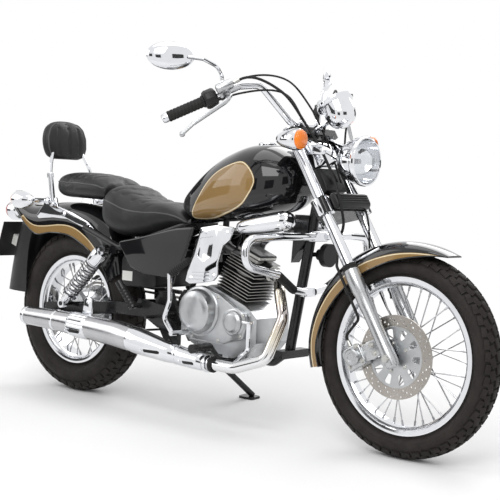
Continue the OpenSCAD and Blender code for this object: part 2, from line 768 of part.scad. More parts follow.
module chain_guard() {
    color(black) {
        plate([[-40, 412], [-10, 432], [430, 412], [430, 399], [20, 413]], chain_y - 4, chain_y + 12);
        // tab that stands on the swingarm
        translate([290, chain_y + 10, 368.4 + gap]) cube([20, 14, 36]);
    }
}

// ---------------------------------------------------------------- foot controls

peg = [806, 272];
pivot = [740, 214];     // brake and gear levers' pivots on the lower frame rails

module footrests() {
    both_sides() {
        // rider's peg on a bracket from the lower frame rail
        color(rubber) across(peg[0], peg[1], 15, -176, -262);
        color(chrome) {
            across(peg[0], peg[1], 9, -166, -178);
            rod([peg[0], -170, peg[1]], [peg[0] - 4, -114, 220], 9);
            across(peg[0] - 4, 213, 11, -69 - gap, -116);
        }
        // passenger's peg, folded up against its plate
        color(alloy) plate([[470, 322], [516, 300], [560, 300], [560, 376], [420, 392], [404, 366],
            [430, 340]], -124, -114);
        color(alloy) across(536, 345, 11, -66 - gap, -115);
        color(alloy) across(494, 335, 6, -123, silencer_y + 26 + gap);
        color(chrome) across(430, 368, 9, -123, -164);
        color(rubber) rod([430, -160, 362], [366, -172, 448], 14);
    }
}

module foot_levers() {
    color(chrome) {
        // brake pedal on the right
        bar(bent([[pivot[0], -104, pivot[1]], [pivot[0], -138, pivot[1] + 2], [880, -146, 222],
            [955, -160, 280], [968, -176, 366]], 26), 7);
        // gear lever on the left
        bar(bent([[pivot[0], 104, pivot[1]], [pivot[0], 138, pivot[1] + 2], [880, 146, 222],
            [985, 160, 262], [1000, 206, 300]], 26), 7);
        both_sides() across(pivot[0], pivot[1], 10, -69 - gap, -110);
    }
}

module kick_starter() {
    color(chrome) {
        across(649, 300, 9, -case_half - 26 - 2 * gap, -196);
        bar(bent([[649, -190, 300], [618, -200, 348], [647, -205, 411], [646, -210, 500]], 24), 8);
        rod([646, -206, 500], [760, -238, 556], 13);
    }
}

// Tube loops in front of the engine, on two clamps at the down tube.
module engine_guard() {
    color(chrome) {
        both_sides()
            bar(bent([[1098, -30, 650], [1084, -180, 650], [1062, -318, 642], [1066, -322, 560],
                [1082, -180, 530],
                      [1072, -88, 480], [1070, -24, 470]], 40, 4), 13);
        translate([1087, -44, 634]) cube([16, 88, 32]);
        translate([1056, -34, 454]) cube([18, 68, 32]);
    }
}

horn_at = [1062, 62, 588];

module horn() {
    color(black) translate(horn_at) rotate([0, 90, 0]) {
        translate([0, 0, 18]) cylinder(h = 22, r = 38);
        translate([0, 0, -8]) cylinder(h = 30, r = 18);
    }
    color(black) translate([1050, 17 + 3 * gap, 582]) cube([8, 40, 14]);
}

// ---------------------------------------------------------------- side stand

stand_eye = 7;          // half the thickness of the stand's hinge eye
stand_axis = unit(cross(stand_foot - stand_pivot, stand_folded));

module side_stand() {
    color(black) {
        difference() {
            union() {
                rod(stand_pivot, stand_foot + [0, 0, 10], 11);
                rod(stand_pivot - stand_axis * (stand_eye + 3),
                    stand_pivot + stand_axis * (stand_eye + 3), 17);
            }
            rod(stand_pivot - stand_axis * 40, stand_pivot + stand_axis * 40, 6 + turning);
            // clear of the lug and of the bolt's head
            rod(stand_pivot - stand_axis * 40, stand_pivot - stand_axis * stand_eye, 24);
            rod(stand_pivot + stand_axis * stand_eye, stand_pivot + stand_axis * 40, 16);
        }
        translate(stand_foot) rotate([lean, 0, 0]) translate([-34, -24,
            0]) linear_extrude(8) offset(8) square([52, 32]);
    }
}

// ---------------------------------------------------------------- fork and steering

riser_x = 8.4;          // the handlebar's middle, ahead of the fork legs' plane
riser_s = 806;          // and along the fork from the axle

module riser(low, high) {
    both_sides() difference() {
        translate([riser_x - 18, 28, low]) cube([36, 24, high - low]);
        translate([riser_x, 60, riser_s]) rotate([90, 0, 0]) cylinder(h = 120, r = bar_r + gap);
    }
}

module steering_clamps() {
    color(chrome) on_fork() {
        for (s = [bottom_clamp_s, top_clamp_s])
            translate([0, 0, s]) difference() {
                linear_extrude(s == bottom_clamp_s ? 56 : 24) offset(10, $fn = 24) offset(-10)
                    polygon([[-fork_offset - clamp_back, -clamp_back_half],
                        [-fork_offset - clamp_back, clamp_back_half],
                        [-22, leg_y + clamp_round], [clamp_round, leg_y + clamp_round], [30, 0],
                        [clamp_round, -leg_y - clamp_round], [-22, -leg_y - clamp_round]]);
                both_sides() translate([0, leg_y, -1]) cylinder(h = 80, r = fork_tube_r + gap);
            }
        translate([-fork_offset, 0, bottom_clamp_s + 20]) cylinder(h = steer_s - 10, r = stem_r - turning);
        riser(top_clamp_s + 20, riser_s - gap);
    }
}

module fork_legs() {
    color(alloy) on_fork() {
        both_sides() {
            translate([0, leg_y, slider_top - 10]) cylinder(h = top_clamp_s + 34 - slider_top,
                r = fork_tube_r);
            translate([0, leg_y, -30]) cylinder(h = 250, r = slider_r - 1);
            translate([0, leg_y, 218]) cylinder(h = slider_top - 218, r = slider_r + 2);
        }
        rotate([90, 0, 0]) translate([0, 0, -leg_y - 30]) cylinder(h = 2 * leg_y + 60, r = axle_r);
    }
}

module headlamp() {
    lamp_x = 1174;
    lamp_z = 893;
    color(chrome) translate([lamp_x, 0, lamp_z]) {
        rotate([0, 90, 0]) rotate_extrude()
            polygon([[0, 0], [30, 4], [54, 20], [68, 46], [headlamp_r - 4, 78], [headlamp_r, 80],
                [headlamp_r, 96],
                     [headlamp_r - 6, 100], [40, 108], [0, 110]]);
        // ears and the plate down to the bottom clamp
        translate([20, -62, -12]) cube([30, 124, 24]);
        both_sides() translate([-62, 54, -12]) cube([100, 6, 24]);
        translate([20, -20, -92]) cube([20, 40, 60]);
    }
    color(chrome) on_fork() difference() {
        translate([-8, -62, 560]) cube([26, 124, 204 - gap]);
        translate([-12, -54, 552]) cube([22, 108, 230]);
    }
}

module speedometer() {
    color(chrome) translate([1136, 0, 1074]) rotate([0, -35, 0]) {
        rotate_extrude()
            polygon([[0, -84], [26, -82], [42, -70], [50, -50], [51, -12], [62, -6], [62, 4], [56, 6],
                [0, 2]]);
    }
    color(chrome) on_fork() translate([30 + gap, 0, top_clamp_s + 12]) rotate([0, 90,
        0]) cylinder(h = 92, r = 9);
}

// Right half of the handlebar, from the middle to the end of the grip.
bar_mid = at_fork(riser_x, 0, riser_s);
bar_end = [771, -bar_half, bar_end_z];
bar_corner = [925, -222, 1112];
grip_dir = unit(bar_end - bar_corner);
bar_path = [bar_mid, [bar_mid[0], -78, bar_mid[2]], [968, -170, 1120], bar_corner, bar_end];

module handlebar() {
    half = bent(bar_path, 42, 5);
    color(chrome) {
        bar(concat([for (i = [len(half) - 1:-1:1]) half[i]],
            [for (p = half) [p[0], -p[1], p[2]]]), bar_r, 12);
        on_fork() both_sides() translate([riser_x - 18, 28, riser_s + gap]) cube([36, 24, 22]);
    }
}

module grips() {
    color(rubber) both_sides() difference() {
        union() {
            rod(bar_end - grip_dir * 20, bar_end - grip_dir * 140, 17);
            rod(bar_end - grip_dir * 140, bar_end - grip_dir * 185, 32);
        }
        rod(bar_end + grip_dir * 20, bar_end - grip_dir * 200, bar_r + gap);
    }
}

perch = bar_end - grip_dir * 205;
mirror_foot = perch + [-4, 0, 36];
reservoir = perch + [26, -18, 20];

module hand_levers() {
    color(alloy) both_sides() {
        difference() {
            union() {
                rod(perch - grip_dir * 12, perch + grip_dir * 12, 22);
                rod(perch, perch + [44, -10, -8], 12);
                rod(perch + [-4, 0, 4], mirror_foot, 10);
            }
            rod(perch + grip_dir * 30, perch - grip_dir * 30, bar_r + gap);
        }
        bar(bent([perch + [40, -8, -8], perch + [62, -50, -30], perch + [20, -150, -105], perch + [8,
            -186, -140]], 40), 7, 10);
    }
    // reservoir of the front brake, on the right lever's perch
    color(alloy) rod(reservoir - grip_dir * 30, reservoir + grip_dir * 24, 17);
}

mirror_c = [795, -400, 1192];
mirror_rows = [[-20, 0.45], [-14, 0.8], [-4, 0.97], [4, 1], [10, 0.97]];

module mirrors() {
    color(chrome) both_sides() {
        bar(bent([mirror_foot + [0, 0, gap], mirror_foot + [0, 0, 14], mirror_foot + [6, -34, 44],
            [868, -330, 1186], [836, -366, 1190]], 14), 6);
        translate(mirror_c) rotate([0, 0, 52]) loft([for (r = mirror_rows)
            [for (j = [0:23]) [-r[1] * 75 * power(cos(15 * j), 0.75), r[0],
                r[1] * 44 * power(sin(15 * j), 0.75)]]]);
    }
}

signal_ring_s = 734;

module front_signals() {
    color("orange") both_sides() {
        signal([1060, -190, 950], 1, at_fork(0, -leg_y - fork_tube_r - 3, signal_ring_s + 11));
        on_fork() translate([0, -leg_y, signal_ring_s]) difference() {
            cylinder(h = 22, r = fork_tube_r + 7);
            translate([0, 0, -1]) cylinder(h = 24, r = fork_tube_r + gap);
        }
    }
}

module brake_caliper() {
    color(alloy) on_fork() {
        difference() {
            translate([-150, -106, 20]) cube([74, 62, 70]);
            translate([-136, disc_y - 2.5 - run, 10]) cube([100, 2 * run + 5, 95]);
        }
        translate([-112, -106, 56]) rotate([90, 0, 0]) cylinder(h = 16, r = 26);
        translate([-80, -100, 24]) cube([80 - slider_r + 1 - gap, 10, 50]);
    }
}

// Route of the front brake hose: reservoir, in front of the clamps, behind the right leg, caliper.
hose_r = 4.5;

module brake_hose() {
    color(black) bar(bent([reservoir - grip_dir * (30 + gap), reservoir - grip_dir * 66,
        at_fork(64, -150, 890), at_fork(52, -78, 790), at_fork(44, -76, 474), at_fork(24, -66, 440),
            at_fork(-20, -66, 400),
        at_fork(-44, -92, 330), at_fork(-44, -96, 150), at_fork(-112, -96, 126), at_fork(-112, -96,
            90 + gap)], 22, 3), hose_r, 8);
}

// ---------------------------------------------------------------- assembly

parked() frame_spine();
parked() frame_down_tube();
parked() frame_cradle();
parked() seat_rails();
parked() crankcase();
parked() engine_covers();
parked() engine_cylinder();
parked() cylinder_head();
parked() carburettor();
parked() air_cleaner();
parked() exhaust_pipe();
parked() silencer();
parked() fuel_tank();
parked() rider_seat();
parked() passenger_seat();
parked() backrest_pad();
parked() backrest_frame();
parked() rear_fender();
parked() rear_mudguard();
parked() number_plate();
parked() tail_lamp();
parked() rear_signals();
parked() side_covers();
parked() engine_side_plates();
parked() swingarm();
parked() shock_absorbers();
parked() footrests();
parked() foot_levers();
parked() kick_starter();
parked() engine_guard();
parked() horn();
parked() drive_chain();
parked() chain_guard();
parked() side_stand();
parked() steering_clamps();
parked() fork_legs();
parked() front_fender();
parked() headlamp();
parked() speedometer();
parked() handlebar();
parked() grips();
parked() hand_levers();
parked() mirrors();
parked() front_signals();
parked() brake_caliper();
parked() brake_hose();
parked() front_tyre();
parked() front_rim();
parked() front_spokes();
parked() front_hub();
parked() brake_disc();
parked() rear_tyre();
parked() rear_rim();
parked() rear_spokes();
parked() rear_hub();
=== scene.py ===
"""Visual model of a parked cruiser motorcycle, dressed over the CAD frame.

Every piece is modelled upright in millimetres (X forward from the rear axle, Y to the rider's left, Z up from
the floor), and Shop.place leans it onto the side stand and moves it into the frame of the CAD model.
"""

from __future__ import annotations

import json
import logging
import math
from dataclasses import dataclass, field
from enum import Enum
from functools import lru_cache
from typing import Optional, Sequence

import bpy
import numpy as np
from mathutils import Matrix, Vector
from mathutils.bvhtree import BVHTree

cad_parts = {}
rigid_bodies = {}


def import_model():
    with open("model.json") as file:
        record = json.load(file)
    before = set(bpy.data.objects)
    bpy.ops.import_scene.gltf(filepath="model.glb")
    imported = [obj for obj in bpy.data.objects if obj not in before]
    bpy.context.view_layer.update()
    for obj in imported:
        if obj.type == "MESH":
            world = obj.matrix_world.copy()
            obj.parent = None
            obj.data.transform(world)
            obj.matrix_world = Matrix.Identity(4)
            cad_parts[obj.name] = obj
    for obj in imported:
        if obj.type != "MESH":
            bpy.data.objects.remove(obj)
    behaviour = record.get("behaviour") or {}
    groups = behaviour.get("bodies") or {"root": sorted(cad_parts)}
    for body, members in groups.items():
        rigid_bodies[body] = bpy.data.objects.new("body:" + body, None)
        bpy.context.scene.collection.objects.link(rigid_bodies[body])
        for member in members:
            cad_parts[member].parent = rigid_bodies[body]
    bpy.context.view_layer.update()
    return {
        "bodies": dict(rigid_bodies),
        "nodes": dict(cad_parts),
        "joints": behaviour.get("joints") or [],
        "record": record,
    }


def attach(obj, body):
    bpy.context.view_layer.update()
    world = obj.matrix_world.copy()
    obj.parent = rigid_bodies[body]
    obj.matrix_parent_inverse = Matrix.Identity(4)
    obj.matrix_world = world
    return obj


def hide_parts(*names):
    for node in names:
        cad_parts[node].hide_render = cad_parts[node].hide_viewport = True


LOG = logging.getLogger("cruiser")
Point = Sequence[float]
Triple = tuple[float, float, float]
Obj = bpy.types.Object
Socket = bpy.types.NodeSocket
MM = 0.001
LEAN = math.radians(4.0)
RAKE = math.radians(32.0)
FRONT_AXLE = (1452.0, 0.0, 312.0)
REAR_AXLE = (0.0, 0.0, 308.0)
CRANK = (760.0, 0.0, 345.0)
TILT = math.radians(20.0)
FOOTPRINT = (653.0, 79.0)
LIFT = 0.15
PARK = Matrix.Translation(
    (-FOOTPRINT[0] * MM, -FOOTPRINT[1] * MM, LIFT * MM)
) @ Matrix.Rotation(-LEAN, 4, "X")
UP = (0.0, 0.0, 1.0)
ACROSS = (0.0, 1.0, 0.0)


class Body(str, Enum):
    """Rigid bodies of the CAD model that a piece can ride on."""

    CHASSIS = "chassis"
    STEERING = "steering"
    FRONT_WHEEL = "front_wheel"
    REAR_WHEEL = "rear_wheel"


# ---------------------------------------------------------------- points and curves


def at_fork(x: float, y: float, s: float) -> Triple:
    """Give a point of the fork's own frame in machine coordinates.

    Args:
        x: distance ahead of the legs' plane.
        y: distance to the left.
        s: distance along the legs, up from the front axle.

    Returns:
        The point in millimetres.
    """
    c, n = math.cos(RAKE), math.sin(RAKE)
    return (FRONT_AXLE[0] + c * x - n * s, y, FRONT_AXLE[2] + n * x + c * s)


def fork_side(outline: Sequence[Point]) -> list[Point]:
    """Turn an outline given along and ahead of the fork legs into X and Z."""
    return [at_fork(x, 0, s)[::2] for x, s in outline]


def at_crank(x: float, y: float, z: float) -> Triple:
    """Give a point of the cylinder's own frame in machine coordinates.

    Args:
        x: distance ahead of the cylinder's axis.
        y: distance to the left.
        z: distance along the cylinder from the crank.

    Returns:
        The point in millimetres.
    """
    c, n = math.cos(TILT), math.sin(TILT)
    return (CRANK[0] + c * x + n * z, y, CRANK[2] - n * x + c * z)


FORK_UP = tuple(Vector(at_fork(0, 0, 1)) - Vector(at_fork(0, 0, 0)))


def rounded(points: Sequence[Point], bend: float, steps: int = 7) -> list[Vector]:
    """Round every inner corner of a path with an arc.

    Args:
        points: the corners, in millimetres.
        bend: radius of the arcs.
        steps: segments in each arc.

    Returns:
        The points of the rounded path.
    """
    pts = [Vector(p) for p in points]
    path = [pts[0]]
    for a, p, b in zip(pts, pts[1:], pts[2:]):
        d1, d2 = (p - a).normalized(), (b - p).normalized()
        turn = d1.angle(d2, 0.0)
        if turn < 0.03:
            path.append(p)
            continue
        reach = min(bend * math.tan(turn / 2), 0.48 * (p - a).length, 0.48 * (b - p).length)
        radius = reach / math.tan(turn / 2)
        centre = p + (d2 - d1).normalized() * radius / math.cos(turn / 2)
        out = (p - d1 * reach - centre) / radius
        for k in range(steps + 1):
            angle = turn * k / steps
            path.append(centre + radius * (math.cos(angle) * out + math.sin(angle) * d1))
    path.append(pts[-1])
    return path


def smooth(rows: Sequence[Sequence[float]], count: int) -> np.ndarray:
    """Pass a smooth curve through rows of numbers.

    Args:
        rows: the numbers at each station.
        count: how many rows to give back.

    Returns:
        An array of count rows, first and last unchanged.
    """
    r = np.array(rows, float)
    knots = np.concatenate(
        [[0.0], np.cumsum(np.linalg.norm(np.diff(r[:, : min(3, r.shape[1])], axis=0), axis=1))]
    )
    slope = np.gradient(r, knots, axis=0)
    t = np.linspace(0, knots[-1], count)
    i = np.clip(np.searchsorted(knots, t, side="right") - 1, 0, len(knots) - 2)
    h = (knots[i + 1] - knots[i])[:, None]
    u = ((t - knots[i]) / (knots[i + 1] - knots[i]))[:, None]
    return (
        (2 * u**3 - 3 * u**2 + 1) * r[i]
        + (u**3 - 2 * u**2 + u) * h * slope[i]
        + (3 * u**2 - 2 * u**3) * r[i + 1]
        + (u**3 - u**2) * h * slope[i + 1]
    )


def power(value: float, exponent: float) -> float:
    """Raise a number to a power and keep its sign."""
    return math.copysign(abs(value) ** exponent, value)


def rib(row: Sequence[float], exponent: float = 0.8, count: int = 40) -> list[Point]:
    """Draw a rounded section across the machine.

    Args:
        row: place along X, half width, underside, widest height and top.
        exponent: squareness, 1 for an oval and less for a squarer section.
        count: points round the section.

    Returns:
        The section's points.
    """
    x, half, low, wide, high = row
    ring = []
    for k in range(count):
        a = 2 * math.pi * k / count
        s = power(math.sin(a), exponent)
        ring.append(
            (x, half * power(math.cos(a), exponent), wide + s * (wide - low if s < 0 else high - wide))
        )
    return ring


def hood(crown: Point, edge: Point, half: float, count: int = 28) -> list[Point]:
    """Draw a fender's section, from its right edge over the crown to its left edge.

    Args:
        crown: X and Z of the crown.
        edge: X and Z of the two edges.
        half: half width.
        count: segments in the section.

    Returns:
        The section's points.
    """
    ring = []
    for k in range(count + 1):
        a = -math.pi / 2 + math.pi * k / count
        rise = max(math.cos(a), 0.0) ** 0.55
        ring.append(
            (
                edge[0] + (crown[0] - edge[0]) * rise, half * power(math.sin(a), 0.85),
                edge[1] + (crown[1] - edge[1]) * rise
            )
        )
    return ring


def softened(outline: Sequence[Point], times: int = 3) -> np.ndarray:
    """Cut the corners of a closed outline until it runs smoothly."""
    o = np.array(outline, float)
    for _ in range(times):
        nxt = np.roll(o, -1, axis=0)
        o = np.stack([0.75 * o + 0.25 * nxt, 0.25 * o + 0.75 * nxt], axis=1).reshape(-1, 2)
    return o


def inside(points: np.ndarray, outline: Sequence[Point]) -> np.ndarray:
    """Measure how far points lie inside a closed outline.

    Args:
        points: an array of two columns.
        outline: the outline's corners in order.

    Returns:
        Distances to the outline, positive inside.
    """
    o = np.array(outline, float)
    best = np.full(len(points), 1e9)
    within = np.zeros(len(points), bool)
    for a, b in zip(o, np.roll(o, -1, axis=0)):
        e = b - a
        t = np.clip(((points - a) @ e) / (e @ e), 0, 1)
        best = np.minimum(best, np.linalg.norm(points - a - t[:, None] * e, axis=1))
        cross = (a[1] > points[:, 1]) != (b[1] > points[:, 1])
        with np.errstate(divide="ignore", invalid="ignore"):
            x = a[0] + (points[:, 1] - a[1]) * e[0] / e[1]
        within ^= cross & (points[:, 0] < x)
    return np.where(within, best, -best)


# ---------------------------------------------------------------- materials


class Graph:
    """A node tree under construction, either a material's or a group's."""

    def __init__(self, tree: bpy.types.NodeTree) -> None:
        """Start on an existing tree."""
        self.tree = tree

    def node(self, kind: str, **settings: object) -> bpy.types.Node:
        """Add a node.

        Args:
            kind: the node's type without the ShaderNode prefix.
            settings: attributes of the node; names starting with in_ link or set input sockets.

        Returns:
            The new node.
        """
        made = self.tree.nodes.new(kind if kind.startswith("Node") else "ShaderNode" + kind)
        for name, value in settings.items():
            if name.startswith("in_"):
                key = name[3:].replace("_", " ")
                self.feed(made.inputs[int(key) if key.isdigit() else key], value)
            else:
                setattr(made, name, value)
        return made

    def feed(self, target: Socket, value: object) -> None:
        """Link an input to another node's output, or set it to a constant."""
        if isinstance(value, Socket):
            self.tree.links.new(value, target)
        else:
            target.default_value = value


def new_group(
    name: str, inputs: Sequence[tuple[str, object]], outputs: Sequence[tuple[str, str]]
) -> tuple[Graph, bpy.types.NodeOutputs, bpy.types.NodeInputs]:
    """Start a shader node group.

    Args:
        name: the group's name.
        inputs: name and default of each input; the default's length gives its type.
        outputs: name and type of each output.

    Returns:
        The group's graph, the sockets that bring its inputs and those that take its outputs.
    """
    tree = bpy.data.node_groups.new(name, "ShaderNodeTree")
    for label, value in inputs:
        kind = {3: "Vector", 4: "Color"}.get(len(value)) if isinstance(value, tuple) else "Float"
        tree.interface.new_socket(
            label, in_out="INPUT", socket_type="NodeSocket" + kind
        ).default_value = value
    for label, kind in outputs:
        tree.interface.new_socket(label, in_out="OUTPUT", socket_type="NodeSocket" + kind)
    graph = Graph(tree)
    return graph, graph.node("NodeGroupInput").outputs, graph.node("NodeGroupOutput").inputs


@lru_cache(None)
def mottle_group() -> bpy.types.NodeTree:
    """Build the group that varies a value softly over the surface, for roughness."""
    g, given, result = new_group(
        "mottle", [("Scale", 20.0), ("Low", 0.1), ("High", 0.2)], [("Value", "Float")]
    )
    place = g.node("TexCoord").outputs["Object"]
    noise = g.node("TexNoise", in_Detail=5.0, in_Roughness=0.62, in_Vector=place, in_Scale=given["Scale"])
    spread = g.node("MapRange", in_Value=noise.outputs["Fac"], in_From_Min=0.3, in_From_Max=0.7)
    g.feed(spread.inputs["To Min"], given["Low"])
    g.feed(spread.inputs["To Max"], given["High"])
    g.feed(result["Value"], spread.outputs["Result"])
    return g.tree


@lru_cache(None)
def tint_group() -> bpy.types.NodeTree:
    """Build the group that varies a colour softly between two shades."""
    shades = [("Color", (0.5, 0.5, 0.5, 1)), ("Shade", (0.4, 0.4, 0.4, 1)), ("Scale", 8.0)]
    g, given, result = new_group("tint", shades, [("Color", "Color")])
    place = g.node("TexCoord").outputs["Object"]
    noise = g.node("TexNoise", in_Detail=6.0, in_Roughness=0.65, in_Vector=place, in_Scale=given["Scale"])
    ramp = g.node("MapRange", in_Value=noise.outputs["Fac"], in_1=0.35, in_2=0.68).outputs["Result"]
    mix = g.node("Mix", data_type="RGBA", in_Factor=ramp, in_A=given["Color"], in_B=given["Shade"])
    g.feed(result["Color"], mix.outputs["Result"])
    return g.tree


@lru_cache(None)
def grain_group() -> bpy.types.NodeTree:
    """Build the group that gives a surface a fine cast or moulded grain."""
    inputs = [("Scale", 400.0), ("Strength", 0.2), ("Stretch", (1, 1, 1))]
    g, given, result = new_group("grain", inputs, [("Normal", "Vector"), ("Mask", "Float")])
    place = g.node("TexCoord").outputs["Object"]
    drawn = g.node("VectorMath", operation="MULTIPLY", in_0=place, in_1=given["Stretch"]).outputs[0]
    noise = g.node("TexNoise", in_Detail=3.0, in_Roughness=0.55, in_Vector=drawn, in_Scale=given["Scale"])
    bump = g.node("Bump", in_Distance=0.0006, in_Height=noise.outputs["Fac"], in_Strength=given["Strength"])
    g.feed(result["Normal"], bump.outputs["Normal"])
    g.feed(result["Mask"], noise.outputs["Fac"])
    return g.tree


@lru_cache(None)
def hide_group() -> bpy.types.NodeTree:
    """Build the group that gives leather its pebbled grain and long soft creases."""
    inputs = [("Scale", 420.0), ("Strength", 0.35), ("Crease", 0.5)]
    g, given, result = new_group("hide", inputs, [("Normal", "Vector"), ("Mask", "Float")])
    place = g.node("TexCoord").outputs["Object"]
    cells = g.node("TexVoronoi", feature="DISTANCE_TO_EDGE", in_Vector=place, in_Scale=given["Scale"])
    fold = g.node("TexNoise", in_Scale=26.0, in_Detail=4.0, in_Distortion=1.6, in_Vector=place).outputs["Fac"]
    height = g.node("Math", operation="MULTIPLY_ADD", in_0=fold, in_1=given["Crease"])
    g.feed(height.inputs[2], cells.outputs["Distance"])
    bump = g.node("Bump", in_Distance=0.0012, in_Height=height.outputs[0], in_Strength=given["Strength"])
    g.feed(result["Normal"], bump.outputs["Normal"])
    g.feed(result["Mask"], fold)
    return g.tree


@lru_cache(None)
def panel_group() -> bpy.types.NodeTree:
    """Build the group that reads a painted panel's outline and gives its area and its pinstripe."""
    outputs = [("Area", "Float"), ("Line", "Float")]
    g, given, result = new_group("panel", [("Inset", 0.003), ("Width", 0.0016)], outputs)
    reach = g.node("Attribute", attribute_name="panel").outputs["Fac"]
    area = g.node("Math", operation="GREATER_THAN", in_0=reach, in_1=0.0)
    less = g.node("Math", operation="SUBTRACT", in_0=reach, in_1=given["Inset"])
    size = g.node("Math", operation="ABSOLUTE", in_0=less.outputs[0])
    line = g.node("Math", operation="LESS_THAN", in_0=size.outputs[0], in_1=given["Width"])
    g.feed(result["Area"], area.outputs[0])
    g.feed(result["Line"], line.outputs[0])
    return g.tree


@dataclass(frozen=True)
class Finish:
    """A plain finish: a colour that varies a little, a varying roughness and a fine grain.

    Attributes:
        name: the material's name.
        slot: the record's material slot; not used.
        color: base colour.
        shade: the second shade it varies to.
        metallic: 1 for bare metal.
        rough: lowest and highest roughness.
        grain: scale and strength of the grain.
        stretch: factors that draw the grain out along an axis.
        patch: size of the soft patches, as a noise scale.
        coat: weight of a clear coat.
        extra: further constant sockets of the shader.
    """

    name: str
    slot: str
    color: Triple
    shade: Triple
    metallic: float = 0.0
    rough: tuple[float, float] = (0.3, 0.4)
    grain: tuple[float, float] = (300.0, 0.05)
    stretch: Triple = (1.0, 1.0, 1.0)
    patch: float = 9.0
    coat: float = 0.0
    extra: tuple[tuple[str, float], ...] = ()

    def start(self) -> tuple[Graph, bpy.types.Node, bpy.types.Material]:
        """Make the material with its shader's constant sockets.

        Returns:
            The graph, its Principled shader and the material.
        """
        material = bpy.data.materials.new(self.name)
        material.use_nodes = True
        shader = material.node_tree.nodes["Principled BSDF"]
        shader.inputs["Metallic"].default_value = self.metallic
        shader.inputs["Coat Weight"].default_value = self.coat
        if self.coat:
            shader.inputs["Coat Roughness"].default_value = 0.03
        for socket, value in self.extra:
            shader.inputs[socket].default_value = value
        return Graph(material.node_tree), shader, material

    def color_source(self, graph: Graph) -> Socket:
        """Add the nodes that give the base colour."""
        tint = graph.node(
            "Group", node_tree=tint_group(), in_Color=(*self.color, 1), in_Shade=(*self.shade, 1)
        )
        tint.inputs["Scale"].default_value = self.patch
        return tint.outputs["Color"]

    def normal_source(self, graph: Graph) -> Socket:
        """Add the nodes that give the normal."""
        grain = graph.node("Group", node_tree=grain_group(), in_Stretch=self.stretch)
        grain.inputs["Scale"].default_value, grain.inputs["Strength"].default_value = self.grain
        return grain.outputs["Normal"]

    def build(self) -> bpy.types.Material:
        """Build the material."""
        graph, shader, material = self.start()
        graph.feed(shader.inputs["Base Color"], self.color_source(graph))
        graph.feed(shader.inputs["Normal"], self.normal_source(graph))
        low, high = self.rough
        rough = graph.node(
            "Group", node_tree=mottle_group(), in_Scale=self.patch * 2.2, in_Low=low, in_High=high
        )
        graph.feed(shader.inputs["Roughness"], rough.outputs["Value"])
        return material


@dataclass(frozen=True)
class Leather(Finish):
    """Leather with a pebbled grain and soft creases."""

    cells: float = 520.0

    def normal_source(self, graph: Graph) -> Socket:
        """Add the hide's grain in place of the plain one."""
        hide = graph.node("Group", node_tree=hide_group(), in_Scale=self.cells, in_Strength=self.grain[1])
        return hide.outputs["Normal"]


@dataclass(frozen=True)
class TwoTone(Finish):
    """Gloss paint with a second colour inside a painted panel and a pinstripe along its edge."""

    second: Triple = (0.29, 0.18, 0.07)
    line: Triple = (0.72, 0.62, 0.42)

    def color_source(self, graph: Graph) -> Socket:
        """Mix the ground, the panel and the pinstripe."""
        ground = super(TwoTone, self).color_source(graph)
        panel = graph.node("Group", node_tree=panel_group()).outputs
        flakes = graph.node("Group", node_tree=tint_group(), in_Color=(*self.second, 1), in_Scale=700.0)
        flakes.inputs["Shade"].default_value = (*[v * 0.82 for v in self.second], 1)
        fill = graph.node(
            "Mix", data_type="RGBA", in_Factor=panel["Area"], in_A=ground, in_B=flakes.outputs["Color"]
        )
        edge = graph.node("Mix", data_type="RGBA", in_Factor=panel["Line"], in_A=fill.outputs["Result"])
        edge.inputs["B"].default_value = (*self.line, 1)
        return edge.outputs["Result"]


@dataclass(frozen=True)
class FinMetal(Finish):
    """Black-painted fins whose outer edges are machined bare."""

    bare: Triple = (0.62, 0.61, 0.58)

    def color_source(self, graph: Graph) -> Socket:
        """Show bare metal on the faces that look away from the cylinder's axis."""
        ground = super(FinMetal, self).color_source(graph)
        facing = graph.node("TexCoord").outputs["Normal"]
        axis = Vector(PARK.to_3x3() @ Vector((math.sin(TILT), 0, math.cos(TILT))))
        dot = graph.node("VectorMath", operation="DOT_PRODUCT", in_1=tuple(axis), in_0=facing)
        size = graph.node("Math", operation="ABSOLUTE", in_0=dot.outputs["Value"])
        rim = graph.node("MapRange", in_1=0.15, in_2=0.35, in_3=0.9, in_4=0.0, in_Value=size.outputs[0])
        mix = graph.node("Mix", data_type="RGBA", in_Factor=rim.outputs["Result"], in_A=ground)
        mix.inputs["B"].default_value = (*self.bare, 1)
        return mix.outputs["Result"]


@dataclass(frozen=True)
class HeatTint(Finish):
    """Chrome pipe turned straw, gold and blue where it runs hottest."""

    hot: Triple = (1046.0, -96.0, 392.0)
    reach: float = 0.17

    def color_source(self, graph: Graph) -> Socket:
        """Colour the metal by its distance from the hottest place."""
        place = graph.node("TexCoord").outputs["Object"]
        away = graph.node(
            "VectorMath", operation="DISTANCE", in_1=tuple(PARK @ (Vector(self.hot) * MM)), in_0=place
        )
        noise = graph.node("TexNoise", in_Scale=22.0, in_Detail=3.0, in_Vector=place).outputs["Fac"]
        add = graph.node("Math", operation="MULTIPLY_ADD", in_1=0.05, in_0=noise, in_2=away.outputs["Value"])
        scale = graph.node("Math", operation="DIVIDE", in_1=self.reach, in_0=add.outputs[0])
        ramp = graph.node("ValToRGB", in_Fac=scale.outputs[0])
        colors = [
            (0.0, (0.44, 0.39, 0.37)), (0.24, (0.47, 0.44, 0.46)), (0.42, (0.60, 0.53, 0.45)),
            (0.66, (0.74, 0.68, 0.57)), (1.0, self.color)
        ]
        stops = ramp.color_ramp.elements
        for stop, (position, color) in zip(stops, (colors[0], colors[-1])):
            stop.position, stop.color = position, (*color, 1)
        for position, color in colors[1:-1]:
            stops.new(position).color = (*color, 1)
        return ramp.outputs["Color"]


